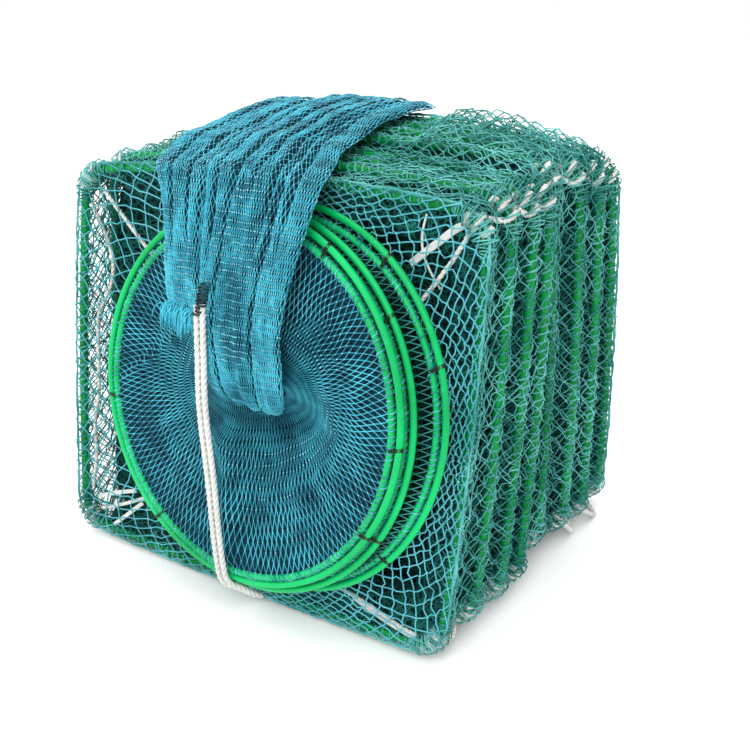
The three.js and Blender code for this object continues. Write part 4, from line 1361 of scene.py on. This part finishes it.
def addCornerRopes():
    for name, slack in cornerRows:
        points = []
        for index, row in enumerate(stackRows):
            points += cornerTurns(index, name, row[6])
            if index < len(slack):
                place, out = outlineAt(cornerShare(name)[0], slack[index], row[6])
                middle = framePoint(index, place.x, place.y).lerp(
                    framePoint(index + 1, *outlineAt(cornerShare(name)[0], slack[index],
                                                     stackRows[index + 1][6])[0]), 0.5)
                middle.z -= max(0, slack[index]) * cornerRope["slackFall"] * mm
                points.append(middle)
        for point in points:
            point.z = max(point.z, cornerRope["lowest"] * mm)
        route = smoothPath(points, round(pathLength(points) / mm / cornerRope["step"]))
        mesh = tubeMesh("cornerRope_" + name, route, cornerRope["radius"] * mm, sides=12, lobes=3,
                        lobeDepth=cornerRope["lobeDepth"], lay=cornerRope["lay"] * mm)
        addPiece("cornerRope_" + name, mesh, "whiteRope", ["corner_rope_" + name])


# The net's twines that pass over the rope's turns
def addCornerCovers():
    for name, _ in cornerRows:
        middle, whole = cornerShare(name)
        paths = []
        for index, row in enumerate(stackRows):
            normal = (framePoses[index].to_3x3() @ Vector((0, -1, 0))).normalized()
            for way in (1, -1):
                path = []
                for step in range(cornerCover["turns"] * cornerCover["steps"] + 1):
                    turn = step / cornerCover["steps"]
                    slide = way * (turn - cornerCover["turns"] / 2) * cornerCover["pitch"]
                    place, out = outlineAt(middle + slide / whole, 0, row[6])
                    outward = (framePoses[index].to_3x3() @ Vector((out.x, 0, out.y))).normalized()
                    edge = min(1.0, 0.5 + 2 * min(turn, cornerCover["turns"] - turn) / cornerCover["turns"])
                    reach = cornerCover["reach"] * edge * mm
                    reach *= 1 + 0.12 * noise.noise(Vector((step * 0.6, index * 3.0, way + middle * 7)))
                    angle = turnRound * turn + index
                    point = framePoint(index, place.x, place.y) + outward * math.cos(angle) * reach \
                        + normal * math.sin(angle) * reach
                    point.z = max(point.z, 1.5 * cornerCover["twine"] * mm)
                    path.append(point)
                paths.append(path)
        mesh = twineMesh("cornerCover_" + name, threadWires(paths), cornerCover["twine"] * mm,
                         twine="bodyTwine")
        addPiece("cornerCover_" + name, mesh, "bodyTwine")


# Lines from the first frame's corners to the rear hoop, and the slack one beside the left bar
braceLine = {"radius": 2.1, "lay": 13, "start": 0.17, "end": 0.93, "behind": 3.9, "slackForward": 0.5}
braceRows = {
    "top_left": (145.8, 150), "top_right": (46.5, 40), "bottom_left": (216.7, 222), "bottom_right": (309, 292),
}
slackRows = [
    (-192, 140), (-183, 125), (-169, 102), (-165, 86), (-167, 70), (-174, 55), (-183, 38), (-184, 10),
    (-183, -40), (-188, -68), (-186, -105), (-190, -138),
]


def addBraceLines():
    routes = {}
    for name, (corner, hoop) in braceRows.items():
        shares = [step / 8 for step in range(9)]
        routes["brace_line_" + name] = smoothPath([
            shoulderPoint((corner + (hoop - corner) * share) / 360,
                          braceLine["start"] + (braceLine["end"] - braceLine["start"]) * share,
                          braceLine["behind"])
            for share in shares], 40)
    routes["slack_line_left"] = smoothPath(
        [framePoint(0, x, z, braceLine["slackForward"]) for x, z in slackRows], 150)
    for name, route in routes.items():
        mesh = tubeMesh(name + "_laid", route, braceLine["radius"] * mm, sides=12, lobes=3, lobeDepth=0.3,
                        lay=braceLine["lay"] * mm)
        addPiece(name + "_laid", mesh, "whiteRope", [name])


# Flat white tapes behind the shoulder net: across and up in the first frame's plane
tape = {"wide": 5.6, "thick": 1.4, "behind": 2.5, "steps": 30}
tapeRows = {
    "top_right": [(191, 169), (178, 163), (165, 152), (151, 140), (142, 132)],
    "top_right_thread": [(152, 170), (150, 156), (152, 142), (160, 128), (169, 117)],
    "bottom_left": [(-182, -147), (-157, -136), (-131, -127)],
    "bottom_left_low": [(-160, -171), (-140, -153), (-122, -137)],
    "bottom_right": [(117, -153), (150, -163), (188, -172)],
}
narrowTapes = {"top_right_thread": 0.3, "bottom_left": 0.7, "bottom_left_low": 0.7, "bottom_right": 0.7}


def addTapes():
    for name, row in tapeRows.items():
        share = narrowTapes.get(name, 1.0)
        route = smoothPath([framePoint(0, x, z, tape["behind"]) for x, z in row], tape["steps"])
        bm = bmesh.new()
        bmesh.ops.create_grid(bm, x_segments=4, y_segments=tape["steps"], size=0.5)
        for vert in bm.verts:
            index = round((vert.co.y + 0.5) * tape["steps"])
            along = (route[min(index + 1, tape["steps"])] - route[max(index - 1, 0)]).normalized()
            side = along.cross(frontNormal)
            curl = frontNormal * math.sin(4.2 * index / tape["steps"]) * vert.co.x * 1.5
            vert.co = route[index] + (side * vert.co.x * tape["wide"] + curl) * share * mm
        piece = addPiece("tape_" + name, toMesh("tape_" + name, bm), "whiteRope")
        thicken(piece, tape["thick"] * mm * share)


addCornerRopes()
addCornerCovers()
addTapes()
addBraceLines()
print("ropes laid")


# Pale floor and soft light
studio = {
    "floor": 60.0,
    "lights": [
        ("key", (0.5, -1.7, 2.0), 1.6, 26), ("fill", (-1.6, -1.3, 1.1), 1.8, 8),
        ("top", (0.1, 0.3, 2.3), 2.2, 16), ("back", (-0.4, 1.9, 1.3), 1.8, 8),
    ],
    "world": 1.04,
}


def addStudio():
    bm = bmesh.new()
    bmesh.ops.create_grid(bm, x_segments=8, y_segments=8, size=studio["floor"] / 2)
    floor = bpy.data.objects.new("floor", toMesh("floor", bm))
    floor.data.materials.append(materials["floorCard"])
    bpy.context.scene.collection.objects.link(floor)
    for name, place, size, power in studio["lights"]:
        data = bpy.data.lights.new(name, "AREA")
        data.shape = "DISK"
        data.size = size
        data.energy = power
        light = bpy.data.objects.new(name, data)
        light.location = place
        aim = Vector((0, 0, 0.18)) - Vector(place)
        light.rotation_euler = aim.to_track_quat("-Z", "Y").to_euler()
        bpy.context.scene.collection.objects.link(light)
    world = bpy.data.worlds.new("studio")
    world.use_nodes = True
    world.node_tree.nodes["Background"].inputs["Color"].default_value = (1, 1, 1, 1)
    world.node_tree.nodes["Background"].inputs["Strength"].default_value = studio["world"]
    bpy.context.scene.world = world
    bpy.context.scene.view_settings.view_transform = "Standard"


addStudio()
print("studio lit")
